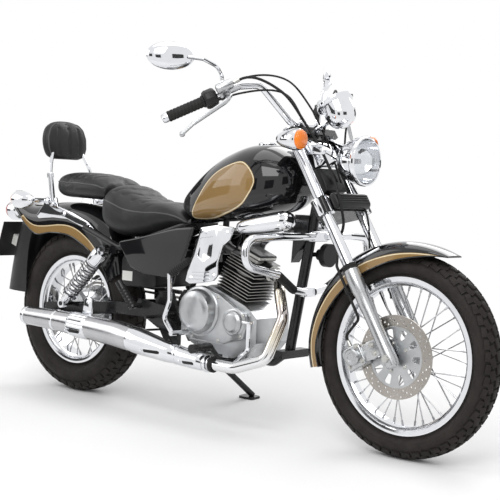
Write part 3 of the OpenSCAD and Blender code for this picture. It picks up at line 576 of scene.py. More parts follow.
@dataclass(frozen=True)
class Lens(Finish):
    """Moulded clear or coloured lens with flutes pressed into it."""

    flutes: float = 130.0
    lean: Triple = (0.0, 1.0, 0.0)

    def normal_source(self, graph: Graph) -> Socket:
        """Press straight flutes into the lens."""
        place = graph.node("TexCoord").outputs["Object"]
        turn = graph.node("VectorMath", operation="DOT_PRODUCT", in_1=self.lean, in_0=place).outputs["Value"]
        scale = graph.node("Math", operation="MULTIPLY", in_1=self.flutes * 2 * math.pi, in_0=turn)
        wave = graph.node("Math", operation="SINE", in_0=scale.outputs[0])
        bump = graph.node("Bump", in_Distance=0.0012, in_Strength=self.grain[1], in_Height=wave.outputs[0])
        return bump.outputs["Normal"]


GLOSS_BLACK = Finish(
    "gloss_black_paint", "black_paint", (0.006, 0.006, 0.007), (0.009, 0.009, 0.010), 0.0, (0.05, 0.09),
    (60.0, 0.01), coat=0.7, extra=(("Specular IOR Level", 0.2),)
)
FRAME_BLACK = Finish(
    "frame_black_paint", "black_paint", (0.010, 0.010, 0.011), (0.017, 0.017, 0.018), 0.0, (0.22, 0.34),
    (500.0, 0.06), coat=0.2, extra=(("Specular IOR Level", 0.25),)
)
PAINT = TwoTone(
    "two_tone_paint", "black_paint", (0.006, 0.006, 0.007), (0.009, 0.009, 0.010), 0.0, (0.05, 0.09),
    (60.0, 0.01), coat=0.7, extra=(("Specular IOR Level", 0.2),)
)
CHROME = Finish(
    "chrome_plate", "chrome", (0.80, 0.81, 0.83), (0.72, 0.73, 0.76), 1.0, (0.035, 0.085), (260.0, 0.012)
)
SATIN_CHROME = Finish(
    "satin_chrome", "chrome", (0.54, 0.54, 0.55), (0.44, 0.44, 0.46), 1.0, (0.16, 0.26), (900.0, 0.05),
    (0.06, 1, 1)
)
CAST_ALLOY = Finish(
    "cast_alloy", "alloy", (0.56, 0.57, 0.58), (0.42, 0.43, 0.44), 1.0, (0.26, 0.40), (700.0, 0.16)
)
DARK_ALLOY = Finish(
    "weathered_alloy", "dark_alloy", (0.30, 0.30, 0.30), (0.17, 0.17, 0.17), 1.0, (0.34, 0.50), (600.0, 0.25)
)
SILVER_PAINT = Finish(
    "silver_lacquer", "alloy", (0.50, 0.51, 0.52), (0.42, 0.43, 0.44), 0.85, (0.22, 0.30), (900.0, 0.05),
    coat=0.5
)
FINS = FinMetal(
    "black_fins", "dark_alloy", (0.016, 0.016, 0.017), (0.030, 0.030, 0.030), 0.4, (0.30, 0.45), (600.0, 0.2)
)
DISC_STEEL = Finish(
    "disc_steel", "disc_steel", (0.44, 0.41, 0.38), (0.34, 0.32, 0.29), 1.0, (0.20, 0.34), (1400.0, 0.12)
)
ZINC = Finish("zinc_bolt", "steel", (0.60, 0.60, 0.58), (0.42, 0.41, 0.39), 1.0, (0.22, 0.36), (900.0, 0.12))
LEATHER = Leather(
    "black_leather", "black_leather", (0.011, 0.011, 0.012), (0.020, 0.020, 0.021), 0.0, (0.30, 0.44),
    (1.0, 0.40), extra=(("Specular IOR Level", 0.3),)
)
PIPING = Leather(
    "leather_piping", "black_leather", (0.045, 0.045, 0.047), (0.07, 0.07, 0.07), 0.0, (0.34, 0.46),
    (1.0, 0.25), cells=900.0
)
RUBBER = Finish(
    "black_rubber", "black_rubber", (0.012, 0.012, 0.012), (0.022, 0.022, 0.021), 0.0, (0.48, 0.66),
    (900.0, 0.2), extra=(("Specular IOR Level", 0.2),)
)
TYRE = Finish(
    "tyre_rubber", "tyre", (0.019, 0.016, 0.015), (0.030, 0.026, 0.024), 0.0, (0.52, 0.72), (1100.0, 0.25),
    patch=24.0, extra=(("Specular IOR Level", 0.15),)
)
PLASTIC = Finish(
    "black_plastic", "black_plastic", (0.014, 0.014, 0.015), (0.022, 0.022, 0.022), 0.0, (0.30, 0.44),
    (1300.0, 0.16), extra=(("Specular IOR Level", 0.25),)
)
WHITE_PAINT = Finish(
    "white_plate_paint", "white_plate", (0.72, 0.72, 0.70), (0.66, 0.66, 0.63), 0.0, (0.32, 0.42),
    (800.0, 0.05)
)
HOT_PIPE = HeatTint(
    "heat_tinted_chrome", "chrome", (0.80, 0.80, 0.81), (0.7, 0.7, 0.7), 1.0, (0.07, 0.14), (240.0, 0.02)
)
CLEAR = Lens(
    "fluted_glass", "white_plate", (0.97, 0.98, 0.98), (0.94, 0.95, 0.96), 0.0, (0.02, 0.05), (1.0, 0.10),
    flutes=70.0, extra=(("Transmission Weight", 1.0), ("IOR", 1.3))
)
AMBER = Lens(
    "amber_lens", "amber_lens", (1.0, 0.27, 0.004), (0.92, 0.20, 0.002), 0.0, (0.06, 0.12), (1.0, 0.3),
    coat=0.3, flutes=170.0, extra=(("Transmission Weight", 0.1),)
)
RED = Lens(
    "red_lens", "red_lens", (0.55, 0.012, 0.012), (0.40, 0.006, 0.008), 0.0, (0.05, 0.10), (1.0, 0.5),
    coat=0.6, flutes=110.0, extra=(("Transmission Weight", 0.3),)
)
DIAL = Finish(
    "dial_black", "black_plastic", (0.010, 0.010, 0.011), (0.014, 0.014, 0.014), 0.0, (0.4, 0.5),
    (900.0, 0.03)
)
MIRROR = Finish(
    "mirror_glass", "chrome", (0.90, 0.92, 0.94), (0.88, 0.90, 0.93), 1.0, (0.008, 0.02), (60.0, 0.002)
)
METER_GLASS = Finish(
    "meter_glass", "white_plate", (0.97, 0.98, 0.98), (0.95, 0.96, 0.96), 0.0, (0.0, 0.02), (20.0, 0.0),
    extra=(("Transmission Weight", 1.0), ("IOR", 1.45))
)
STEEL = Finish(
    "oiled_steel", "steel", (0.36, 0.35, 0.33), (0.24, 0.23, 0.22), 1.0, (0.26, 0.42), (900.0, 0.15)
)


@lru_cache(None)
def material_of(finish: Finish) -> bpy.types.Material:
    """Build a finish's material once."""
    return finish.build()


# ---------------------------------------------------------------- modelling operations


def points_of(obj: Obj) -> np.ndarray:
    """Give a mesh's points as rows of X, Y and Z, in metres."""
    co = np.empty(len(obj.data.vertices) * 3)
    obj.data.vertices.foreach_get("co", co)
    return co.reshape(-1, 3)


def move_points(obj: Obj, points: Sequence[Point]) -> None:
    """Move a mesh's points to new places, in metres."""
    obj.data.vertices.foreach_set("co", np.array(points, float).ravel())
    obj.data.update()


class Shop:
    """Modelling operations on new pieces, all upright and in metres until place() parks them."""

    @staticmethod
    def clear() -> None:
        """Deselect everything, in object mode."""
        if bpy.context.mode != "OBJECT":
            bpy.ops.object.mode_set(mode="OBJECT")
        bpy.ops.object.select_all(action="DESELECT")

    @staticmethod
    def take(obj: Obj) -> Obj:
        """Make an object the only one selected, and active."""
        Shop.clear()
        obj.select_set(True)
        bpy.context.view_layer.objects.active = obj
        return obj

    @staticmethod
    def edit(obj: Obj) -> None:
        """Open an object in edit mode with everything selected."""
        Shop.take(obj)
        bpy.ops.object.mode_set(mode="EDIT")
        bpy.ops.mesh.select_all(action="SELECT")

    @staticmethod
    def close(obj: Obj, merge: float = 1e-6) -> Obj:
        """Merge doubles, point the faces outwards and leave edit mode.

        Args:
            obj: a mesh that is open in edit mode.
            merge: points nearer than this become one.

        Returns:
            The same object.
        """
        bpy.ops.mesh.select_all(action="SELECT")
        bpy.ops.mesh.remove_doubles(threshold=merge)
        bpy.ops.mesh.delete_loose(use_verts=True, use_edges=True, use_faces=False)
        bpy.ops.mesh.select_all(action="SELECT")
        bpy.ops.mesh.normals_make_consistent(inside=False)
        bpy.ops.object.mode_set(mode="OBJECT")
        return obj

    @staticmethod
    def outline(name: str, points: Sequence[Point], filled: bool) -> Obj:
        """Add a circle primitive and move its points onto an outline.

        Args:
            name: the new object's name.
            points: the outline in metres.
            filled: whether it carries a face.

        Returns:
            The new object.
        """
        Shop.clear()
        bpy.ops.mesh.primitive_circle_add(
            vertices=len(points), radius=1.0, fill_type="NGON" if filled else "NOTHING"
        )
        obj = bpy.context.active_object
        obj.name = name
        move_points(obj, points)
        return obj

    @staticmethod
    def turned(name: str, profile: Sequence[Point], at: Point, along: Point, steps: int = 64) -> Obj:
        """Spin a closed profile into a round piece.

        Args:
            name: the new object's name.
            profile: radius and height of each corner, in millimetres.
            at: where height 0 lies on the axis.
            along: the axis's direction.
            steps: segments round the piece.

        Returns:
            The new object.
        """
        obj = Shop.outline(name, [(r * MM, 0.0, h * MM) for r, h in profile], False)
        Shop.edit(obj)
        bpy.ops.mesh.spin(steps=steps, angle=2 * math.pi, center=(0, 0, 0), axis=(0, 0, 1))
        Shop.close(obj)
        obj.data.transform(
            Matrix.Translation(Vector(at) * MM) @ Vector(along).to_track_quat("Z", "Y").to_matrix().to_4x4()
        )
        return obj

    @staticmethod
    def slab(
        name: str, outline: Sequence[Point], y0: float, y1: float, bevel: float = 1.5, segments: int = 2
    ) -> Obj:
        """Extrude an outline in the XZ plane across the machine and bevel its edges.

        Args:
            name: the new object's name.
            outline: X and Z of each corner, in millimetres.
            y0: Y of one face.
            y1: Y of the other.
            bevel: width of the bevel.
            segments: segments in the bevel.

        Returns:
            The new object.
        """
        obj = Shop.outline(name, [(x * MM, y0 * MM, z * MM) for x, z in outline], True)
        Shop.edit(obj)
        bpy.ops.mesh.extrude_region_move(TRANSFORM_OT_translate={"value": (0, (y1 - y0) * MM, 0)})
        Shop.close(obj)
        return Shop.bevel(obj, bevel, segments) if bevel else obj

    @staticmethod
    def block(
        name: str, size: Point, at: Point, turn: Optional[Matrix] = None, bevel: float = 2.0,
        segments: int = 3
    ) -> Obj:
        """Make a bevelled block.

        Args:
            name: the new object's name.
            size: full lengths along X, Y and Z.
            at: its centre.
            turn: a rotation about the centre.
            bevel: width of the bevel.
            segments: segments in the bevel.

        Returns:
            The new object.
        """
        Shop.clear()
        bpy.ops.mesh.primitive_cube_add(size=1.0)
        obj = bpy.context.active_object
        obj.name = name
        obj.data.transform(Matrix.Diagonal((*[v * MM for v in size], 1.0)))
        Shop.bevel(obj, bevel, segments)
        obj.data.transform(
            Matrix.Translation(Vector(at) * MM) @ (turn.to_4x4() if turn else Matrix.Identity(4))
        )
        return obj

    @staticmethod
    def tube(
        name: str, path: Sequence[Point], radius: float, bend: float = 0.0, sides: int = 16,
        widths: Optional[Sequence[float]] = None, cyclic: bool = False
    ) -> Obj:
        """Sweep a round section along a path.

        Args:
            name: the new object's name.
            path: the corners in millimetres.
            radius: the section's radius.
            bend: radius that rounds the corners, 0 to leave them.
            sides: segments round the section.
            widths: factors of the radius at each point of the path.
            cyclic: whether the path closes on itself.

        Returns:
            The new mesh object.
        """
        points = rounded(path, bend) if bend else [Vector(p) for p in path]
        Shop.clear()
        bpy.ops.curve.primitive_bezier_curve_add()
        obj = bpy.context.active_object
        obj.name = name
        curve = obj.data
        curve.splines.clear()
        curve.dimensions, curve.fill_mode = "3D", "FULL"
        curve.bevel_depth, curve.bevel_resolution = radius * MM, max(1, sides // 4 - 1)
        curve.use_fill_caps = not cyclic
        curve.twist_mode = "MINIMUM"
        spline = curve.splines.new("POLY")
        spline.points.add(len(points) - 1)
        spline.use_cyclic_u = cyclic
        for k, p in enumerate(points):
            spline.points[k].co = (*(p * MM), 1.0)
            if widths is not None:
                spline.points[k].radius = widths[k]
        Shop.take(obj)
        bpy.ops.object.convert(target="MESH")
        obj = bpy.context.active_object
        Shop.edit(obj)
        return Shop.close(obj)

    @staticmethod
    def surface(name: str, rings: Sequence[Sequence[Point]], closed: bool, caps: bool = False) -> Obj:
        """Lay a grid primitive over a row of sections.

        Args:
            name: the new object's name.
            rings: sections with as many points each, in millimetres.
            closed: whether each section closes on itself.
            caps: whether the first and last sections are drawn to their middles.

        Returns:
            The new object.
        """
        rows = [np.array(r, float) for r in rings]
        if closed:
            rows = [np.vstack([r, r[:1]]) for r in rows]
        if caps:
            for index, end in ((0, rows[0]), (len(rows), rows[-1])):
                middle = end[:-1].mean(axis=0) if closed else end.mean(axis=0)
                inner = [middle + (end - middle) * f for f in (0.6, 0.0)]
                rows = (inner[::-1] + rows) if index == 0 else (rows + inner)
        grid = np.array(rows) * MM
        m, n = grid.shape[:2]
        Shop.clear()
        bpy.ops.mesh.primitive_grid_add(x_subdivisions=n - 1, y_subdivisions=m - 1, size=1.0)
        obj = bpy.context.active_object
        obj.name = name
        move_points(obj, grid)
        Shop.edit(obj)
        return Shop.close(obj, 1e-5)

    @staticmethod
    def modify(obj: Obj, kind: str, **settings: object) -> Obj:
        """Add a modifier and apply it.

        Args:
            obj: the object.
            kind: the modifier's type.
            settings: its attributes.

        Returns:
            The same object.
        """
        made = obj.modifiers.new(kind.lower(), kind)
        for name, value in settings.items():
            setattr(made, name, value)
        Shop.take(obj)
        bpy.ops.object.modifier_apply(modifier=made.name)
        return obj

    @staticmethod
    def bevel(obj: Obj, width: float, segments: int = 2, angle: float = 30.0) -> Obj:
        """Bevel the edges sharper than an angle."""
        return Shop.modify(
            obj, "BEVEL", width=width * MM, segments=segments, limit_method="ANGLE",
            angle_limit=math.radians(angle)
        )

    @staticmethod
    def cut(obj: Obj, cutter: Obj) -> Obj:
        """Cut one object out of another and delete the cutter."""
        Shop.modify(obj, "BOOLEAN", object=cutter, operation="DIFFERENCE", solver="EXACT")
        bpy.data.objects.remove(cutter)
        return obj

    @staticmethod
    def join(name: str, pieces: Sequence[Obj]) -> Obj:
        """Join objects into the first one."""
        Shop.clear()
        for piece in pieces:
            piece.select_set(True)
        bpy.context.view_layer.objects.active = pieces[0]
        bpy.ops.object.join()
        pieces[0].name = name
        return pieces[0]

    @staticmethod
    def copies(name: str, base: Obj, places: Sequence[Matrix]) -> Obj:
        """Copy a piece to many places and join the copies.

        Args:
            name: the new object's name.
            base: the piece; it is used up.
            places: where each copy goes, in metres.

        Returns:
            The joined copies.
        """
        made = []
        for place in places:
            Shop.take(base)
            bpy.ops.object.duplicate()
            copy = bpy.context.active_object
            copy.data.transform(place)
            made.append(copy)
        bpy.data.objects.remove(base)
        return Shop.join(name, made)

    @staticmethod
    def mirrored(obj: Obj) -> Obj:
        """Copy a piece to the other side of the machine.

        Args:
            obj: the piece, which stays.

        Returns:
            The copy.
        """
        Shop.take(obj)
        bpy.ops.object.duplicate()
        copy = bpy.context.active_object
        copy.data.transform(Matrix.Scale(-1, 4, ACROSS))
        copy.data.flip_normals()
        return copy

    @staticmethod
    def both(name: str, obj: Obj) -> Obj:
        """Join a piece with its mirror image."""
        return Shop.join(name, [obj, Shop.mirrored(obj)])

    @staticmethod
    def bolt(at: Point, along: Point, radius: float = 6.0, height: float = 5.0) -> Obj:
        """Make a hexagon bolt head with a washer and a dished top."""
        washer = Shop.turned(
            "washer", [(0, 0), (radius * 1.35, 0), (radius * 1.35, 1.2), (0, 1.2)], at, along, 20
        )
        head = Shop.turned(
            "head", [(0, 1), (radius, 1), (radius, height), (radius * 0.86, height + 0.8), (0, height + 0.4)],
            at, along, 6
        )
        return Shop.join("bolt", [washer, head])

    @staticmethod
    def place(
        obj: Obj, name: str, body: Body, finish: Finish, nodes: Sequence[str] = (), angle: float = 32.0
    ) -> Obj:
        """Smooth, park and dress a finished piece, and hang it on its body.

        Args:
            obj: the piece.
            name: its name.
            body: the body it rides on.
            finish: its finish.
            nodes: CAD nodes that it stands for.
            angle: edges sharper than this stay sharp.

        Returns:
            The placed piece.
        """
        obj.name = name
        Shop.take(obj)
        bpy.ops.object.shade_smooth_by_angle(angle=math.radians(angle))
        obj.data.transform(PARK)
        obj.data.materials.clear()
        obj.data.materials.append(material_of(finish))
        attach(obj, body.value)
        if nodes:
            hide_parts(*nodes)
        LOG.info("%s: %d faces", name, len(obj.data.polygons))
        return obj


def panel_mask(obj: Obj, outline: Sequence[Point]) -> None:
    """Write how far each point lies inside a painted panel, seen from the side.

    Args:
        obj: the upright piece.
        outline: X and Z of the panel's corners, in millimetres.
    """
    co = points_of(obj)
    reach = inside(co[:, [0, 2]] / MM, softened([tuple(p[:2]) for p in outline])) * MM
    obj.data.attributes.new("panel", "FLOAT", "POINT").data.foreach_set("value", reach)


# ---------------------------------------------------------------- wheels


@dataclass
class Wheel:
    """A wire wheel: tyre, rim, spokes and nipples, all in millimetres."""

    name: str
    body: Body
    axle: Triple
    tyre_r: float
    tyre_half: float
    rim_r: float
    rim_half: float
    hub_r: float
    hub_y: float
    cross: float
    blocks: int = 46
    lift: float = 6.0

    def section(self, angle: float) -> tuple[float, float]:
        """Give a point of the tyre's outer section.

        Args:
            angle: degrees from the widest place, 90 at the crown.

        Returns:
            Radius and distance from the middle plane.
        """
        a = math.radians(angle)
        mid = self.rim_r + (self.tyre_r - self.rim_r) * 0.45
        reach = (mid - self.rim_r - 2) if a < 0 else (self.tyre_r - mid)
        return mid + reach * math.sin(a), self.tyre_half * max(math.cos(a), 0.0) ** 0.75

    def tyre(self) -> None:
        """Build the carcass and its grooved tread."""
        seat = self.rim_half - 5.3
        side = []
        for k in range(19):
            a = -62 + 152 * k / 18
            r, y = self.section(a)
            sink = self.lift * min(1.0, max(0.0, (a - 8) / 22))
            side.append(
                (
                    r - sink * math.sin(math.radians(max(a, 0))),
                    y - sink * math.cos(math.radians(max(a, 0))) ** 1.2
                )
            )
        side[4] = (side[4][0], side[4][1] + 0.2)
        left = [(self.rim_r - 11.6, seat), (self.rim_r + 2, seat + 1)] + side
        profile = left + [(r, -y) for r, y in reversed(left[:-1])]
        tyre = Shop.turned("carcass", profile, self.axle, ACROSS, 96)
        rings = [tyre]
        for angle in (-18, 2):
            r, y = self.section(angle)
            for way in (1, -1):
                ring = [
                    (r - 2, way * (y - 1.2)), (r - 1, way * (y + 0.2)), (r + 1, way * (y + 0.2)),
                    (r + 2, way * (y - 1.2))
                ]
                rings.append(Shop.turned("bead", ring, self.axle, ACROSS, 96))
        rows = [
            (90, 0.21, 0.0, 0.22), (63, 0.19, 0.5, -0.34), (117, 0.19, 0.5, 0.34), (38, 0.18, 0.0, 0.16),
            (142, 0.18, 0.0, -0.16)
        ]
        for angle, width, shift, skew in rows:
            flip = -1 if angle > 90 else 1
            a = 180 - angle if angle > 90 else angle
            r, y = self.section(a)
            r2, y2 = self.section(a - 2)
            lean = math.atan2(abs(y2 - y), abs(r2 - r) + 1e-9) if a < 89 else math.pi / 2
            pitch = 2 * math.pi * r / self.blocks
            base = Shop.block(
                "tread", (pitch * 0.80, self.tyre_half * 2 * width, self.lift + 3),
                (0, 0, -(self.lift + 3) / 2), Matrix.Rotation(skew, 3, "Z"), 1.4, 1
            )
            places = []
            for k in range(self.blocks):
                turn = Matrix.Rotation(2 * math.pi * (k + shift) / self.blocks, 4, ACROSS)
                tip = Matrix.Rotation(-flip * (math.pi / 2 - lean), 4, "X")
                places.append(
                    Matrix.Translation(Vector(self.axle) * MM) @ turn @ Matrix.Translation(
                        (0, flip * y * MM, r * MM)
                    ) @ tip
                )
            rings.append(Shop.copies("tread_row", base, places))
        tread = Shop.join("tyre", rings)
        self.settle(tread)
        Shop.place(tread, f"{self.name}_tyre_tread", self.body, TYRE, [f"{self.name}_tyre"])

    def settle(self, obj: Obj) -> None:
        """Draw the tread in to the tyre's round section."""
        co = points_of(obj) / MM - np.array(self.axle)
        r = np.hypot(co[:, 0], co[:, 2])
        mid = self.rim_r + (self.tyre_r - self.rim_r) * 0.45
        share = np.clip(np.abs(co[:, 1]) / self.tyre_half, 0, 1) ** (2 / 0.75)
        most = mid + (self.tyre_r - mid) * np.sqrt(1 - share)
        scale = np.where((r > most) & (r > mid), most / r, 1.0)
        co[:, 0] *= scale
        co[:, 2] *= scale
        move_points(obj, (co + np.array(self.axle)) * MM)

    def rim(self) -> None:
        """Build the rim with its rolled flanges, and the valve."""
        r, h = self.rim_r, self.rim_half
        half = [
            (r, h), (r - 0.6, h - 1.2), (r - 2, h - 4), (r - 12, h - 5), (r - 12, h - 13), (r - 24, h - 19)
        ]
        back = [
            (r - 28, h - 18), (r - 22, h - 14), (r - 17.5, h - 10), (r - 15, h - 1.5), (r - 8, h - 0.6),
            (r - 3, h)
        ]
        profile = half + [(a, -b) for a, b in reversed(half)] + [(a, -b) for a, b in reversed(back)] + back
        rim = Shop.turned("rim", profile, self.axle, ACROSS, 96)
        Shop.place(rim, f"{self.name}_rim_chrome", self.body, CHROME, [f"{self.name}_rim"], 40)
        a = math.radians(112)
        way = Vector((math.cos(a), 0, math.sin(a)))
        foot = Vector(self.axle) + way * (r - 29)
        valve = Shop.turned(
            "valve", [(0, 0), (4, 0), (4, 7), (2.6, 8), (2.6, 26), (3.6, 27), (3.6, 33), (0, 34)],
            foot + way * 2, -way, 14
        )
        Shop.place(valve, f"{self.name}_valve", self.body, RUBBER)

    def spokes(self) -> None:
        """Build one spoke with its nipple, and copy it round the wheel."""
        first = None
        places = []
        for k in range(36):
            side = 1 if k % 2 == 0 else -1
            way = 1 if (k // 2) % 2 == 0 else -1
            a = 2 * math.pi * k / 36
            h = a + way * math.radians(self.cross)
            low = Vector(
                (self.hub_r * math.cos(h), side * (self.hub_y + way * 1.2), self.hub_r * math.sin(h))
            )
            top = Vector(((self.rim_r - 27) * math.cos(a), side * 4, (self.rim_r - 27) * math.sin(a)))
            length = (top - low).length
            first = first or length
            turn = (top - low).to_track_quat("Z", "Y").to_matrix().to_4x4()
            places.append(
                Matrix.Translation(
                    (Vector(self.axle) + low) * MM
                ) @ turn @ Matrix.Diagonal((1, 1, length / first, 1))
            )
        profile = [(0, 0), (2.1, 0), (2.0, first - 17), (3.3, first - 15.5), (3.3, first), (0, first)]
        spoke = Shop.turned("spoke", profile, (0, 0, 0), UP, 8)
        Shop.place(
            Shop.copies("spokes", spoke, places), f"{self.name}_wire_spokes", self.body, SATIN_CHROME,
            [f"{self.name}_spokes"]
        )

    def build(self) -> None:
        """Build the wheel."""
        self.tyre()
        self.rim()
        self.spokes()


@dataclass
class FrontBrake:
    """The drilled disc with its carrier, and the caliper on the right fork leg."""

    disc_r: float = 127.0
    band: float = 34.0
    plane: float = -62.0
    thick: float = 4.0

    def disc(self) -> None:
        """Build the disc, drilled in three rows."""
        inner, outer, half = self.disc_r - self.band, self.disc_r - 0.3, self.thick / 2
        at = (FRONT_AXLE[0], self.plane, FRONT_AXLE[2])
        disc = Shop.turned(
            "disc", [(inner, -half), (outer, -half), (outer, half), (inner, half)], at, ACROSS, 96
        )
        hole = Shop.turned("hole", [(0, -9), (3.2, -9), (3.2, 9), (0, 9)], (0, 0, 0), ACROSS, 12)
        places = []
        for ring, shift in ((inner + 8, 0.0), (inner + 17, 0.34), (inner + 26, 0.67)):
            for k in range(20):
                a = 2 * math.pi * (k + shift) / 20
                places.append(
                    Matrix.Translation(
                        Vector((at[0] + ring * math.cos(a), at[1], at[2] + ring * math.sin(a))) * MM
                    )
                )
        Shop.cut(disc, Shop.copies("holes", hole, places))
        Shop.place(disc, "brake_disc_drilled", Body.FRONT_WHEEL, DISC_STEEL, ["brake_disc"])

    def carrier(self) -> None:
        """Build the slotted carrier and its bolts."""
        at = Vector((FRONT_AXLE[0], self.plane, FRONT_AXLE[2]))
        web = Shop.turned("carrier", [(12, -1.8), (92.6, -1.8), (92.6, 1.8), (12, 1.8)], at, ACROSS, 60)
        slot = Shop.slab("slot", [(57, -7), (84, -11), (86, 0), (84, 11), (57, 7), (54, 0)], -9, 9, 3, 3)
        places = [
            Matrix.Translation(at * MM) @ Matrix.Rotation(2 * math.pi * k / 10, 4, ACROSS) for k in range(10)
        ]
        Shop.cut(web, Shop.copies("slots", slot, places))
        Shop.place(web, "brake_disc_carrier", Body.FRONT_WHEEL, CAST_ALLOY)
        bolts = []
        for k in range(5):
            a = 2 * math.pi * (k + 0.5) / 5
            bolts.append(
                Shop.bolt((at.x + 42 * math.cos(a), at.y - 1.6, at.z + 42 * math.sin(a)), (0, -1, 0), 5, 4)
            )
        Shop.place(Shop.join("bolts", bolts), "brake_disc_bolts", Body.FRONT_WHEEL, ZINC)

    def caliper(self) -> None:
        """Build the caliper's two halves, its cylinder, its bracket and its bolts."""
        outline = [(-148, 26), (-140, 20), (-84, 20), (-77, 30), (-77, 82), (-86, 90), (-138, 90), (-149, 80)]
        pieces = []
        for y0, y1 in ((-105, -67.6), (-56.4, -45)):
            pieces.append(Shop.slab("half", fork_side(outline), y0, y1, 5, 4))
        bridge = [(-149, 30), (-142, 24), (-138, 30), (-138, 80), (-142, 86), (-149, 78)]
        pieces.append(Shop.slab("bridge", fork_side(bridge), -103, -47, 2, 2))
        arm = [(-82, 26), (-50, 20), (-22.5, 24), (-22.5, 72), (-50, 76), (-82, 72)]
        pieces.append(Shop.slab("arm", fork_side(arm), -99.5, -90.5, 1.5, 2))
        cap = [(0, -4), (25.5, -4), (25.5, 9), (22, 13), (14, 13.5), (12, 11), (0, 11)]
        pieces.append(Shop.turned("cylinder", cap, at_fork(-112, -106, 56), (0, -1, 0), 40))
        Shop.place(
            Shop.join("caliper", pieces), "brake_caliper_cast", Body.STEERING, SILVER_PAINT, ["brake_caliper"]
        )
        bolts = [
            Shop.bolt(at_fork(x, -104.5, s), (0, -1, 0), 6, 6) for x, s in ((-138, 34), (-88, 80), (-88, 32))
        ]
        bolts += [Shop.bolt(at_fork(-40, -99, s), (0, -1, 0), 6.5, 6) for s in (34, 62)]
        Shop.place(Shop.join("bolts", bolts), "brake_caliper_bolts", Body.STEERING, ZINC)

    def build(self) -> None:
        """Build the brake."""
        self.disc()
        self.carrier()
        self.caliper()


# ---------------------------------------------------------------- steering


@dataclass
class ForkLegs:
    """Chromed tubes, lacquered sliders, seals, axle nuts and the covered lower clamp."""

    leg_y: float = 95.0
    tube_r: float = 18.0

    def build(self) -> None:
        """Build the fork."""
        tube = Shop.turned(
            "tube", [(0, 286), (18, 286), (18, 790), (17, 791), (21, 791.5), (21, 797), (14, 798), (0, 798)],
            at_fork(0, -self.leg_y, 0), FORK_UP, 48
        )
        Shop.place(Shop.both("tubes", tube), "fork_tubes", Body.STEERING, CHROME, ["fork_legs"])
        profile = [
            (0, -30), (16, -30), (20, -26), (22.5, -10), (22.5, 24), (21, 36), (21, 150), (22.4, 170),
            (22.4, 212), (24.8, 220), (24.8, 284), (23.4, 296), (0, 296)
        ]
        slider = Shop.turned("slider", profile, at_fork(0, -self.leg_y, 0), FORK_UP, 56)
        Shop.place(Shop.both("sliders", slider), "fork_sliders", Body.STEERING, SILVER_PAINT)
        boot = [
            (18.1, 292), (23.6, 292), (24.2, 297), (23, 300), (24.2, 303), (23, 306), (24, 309), (21, 312),
            (18.1, 312)
        ]
        seal = Shop.turned("seal", boot, at_fork(0, -self.leg_y, 0), FORK_UP, 40)
        Shop.place(Shop.both("seals", seal), "fork_seals", Body.STEERING, RUBBER)
        nut = Shop.join(
            "nut",
            [
                Shop.turned("axle_end", [(0, 100), (9, 100), (9, 117), (0, 117)], FRONT_AXLE, (0, -1, 0), 28),
                Shop.turned(
                    "hex", [(0, 116), (13, 116), (13, 122), (11.5, 124.5), (0, 124.5)], FRONT_AXLE,
                    (0, -1, 0), 6
                )
            ]
        )
        Shop.place(Shop.both("nuts", nut), "front_axle_nuts", Body.STEERING, ZINC)
        plate = [(28, 487), (44, 488), (53, 497), (54, 528), (46, 538), (28, 539)]
        cover = Shop.slab("cover", fork_side(plate), -88, 88, 7, 4)
        ribs = [
            Shop.slab("rib", fork_side([(50, z), (56.5, z), (56.5, z + 4), (50, z + 4)]), -80, 80, 1.2, 1)
            for z in range(500, 530, 8)
        ]
        ring = Shop.turned(
            "ring", [(18.2, 484), (27, 484), (28.4, 488), (28.4, 536), (27, 540), (18.2, 540)],
            at_fork(0, -self.leg_y, 0), FORK_UP, 48
        )
        Shop.place(Shop.both("rings", ring), "lower_clamp_rings", Body.STEERING, CHROME)
        Shop.place(Shop.join("shroud", [cover, *ribs]), "lower_clamp_cover", Body.STEERING, PLASTIC)


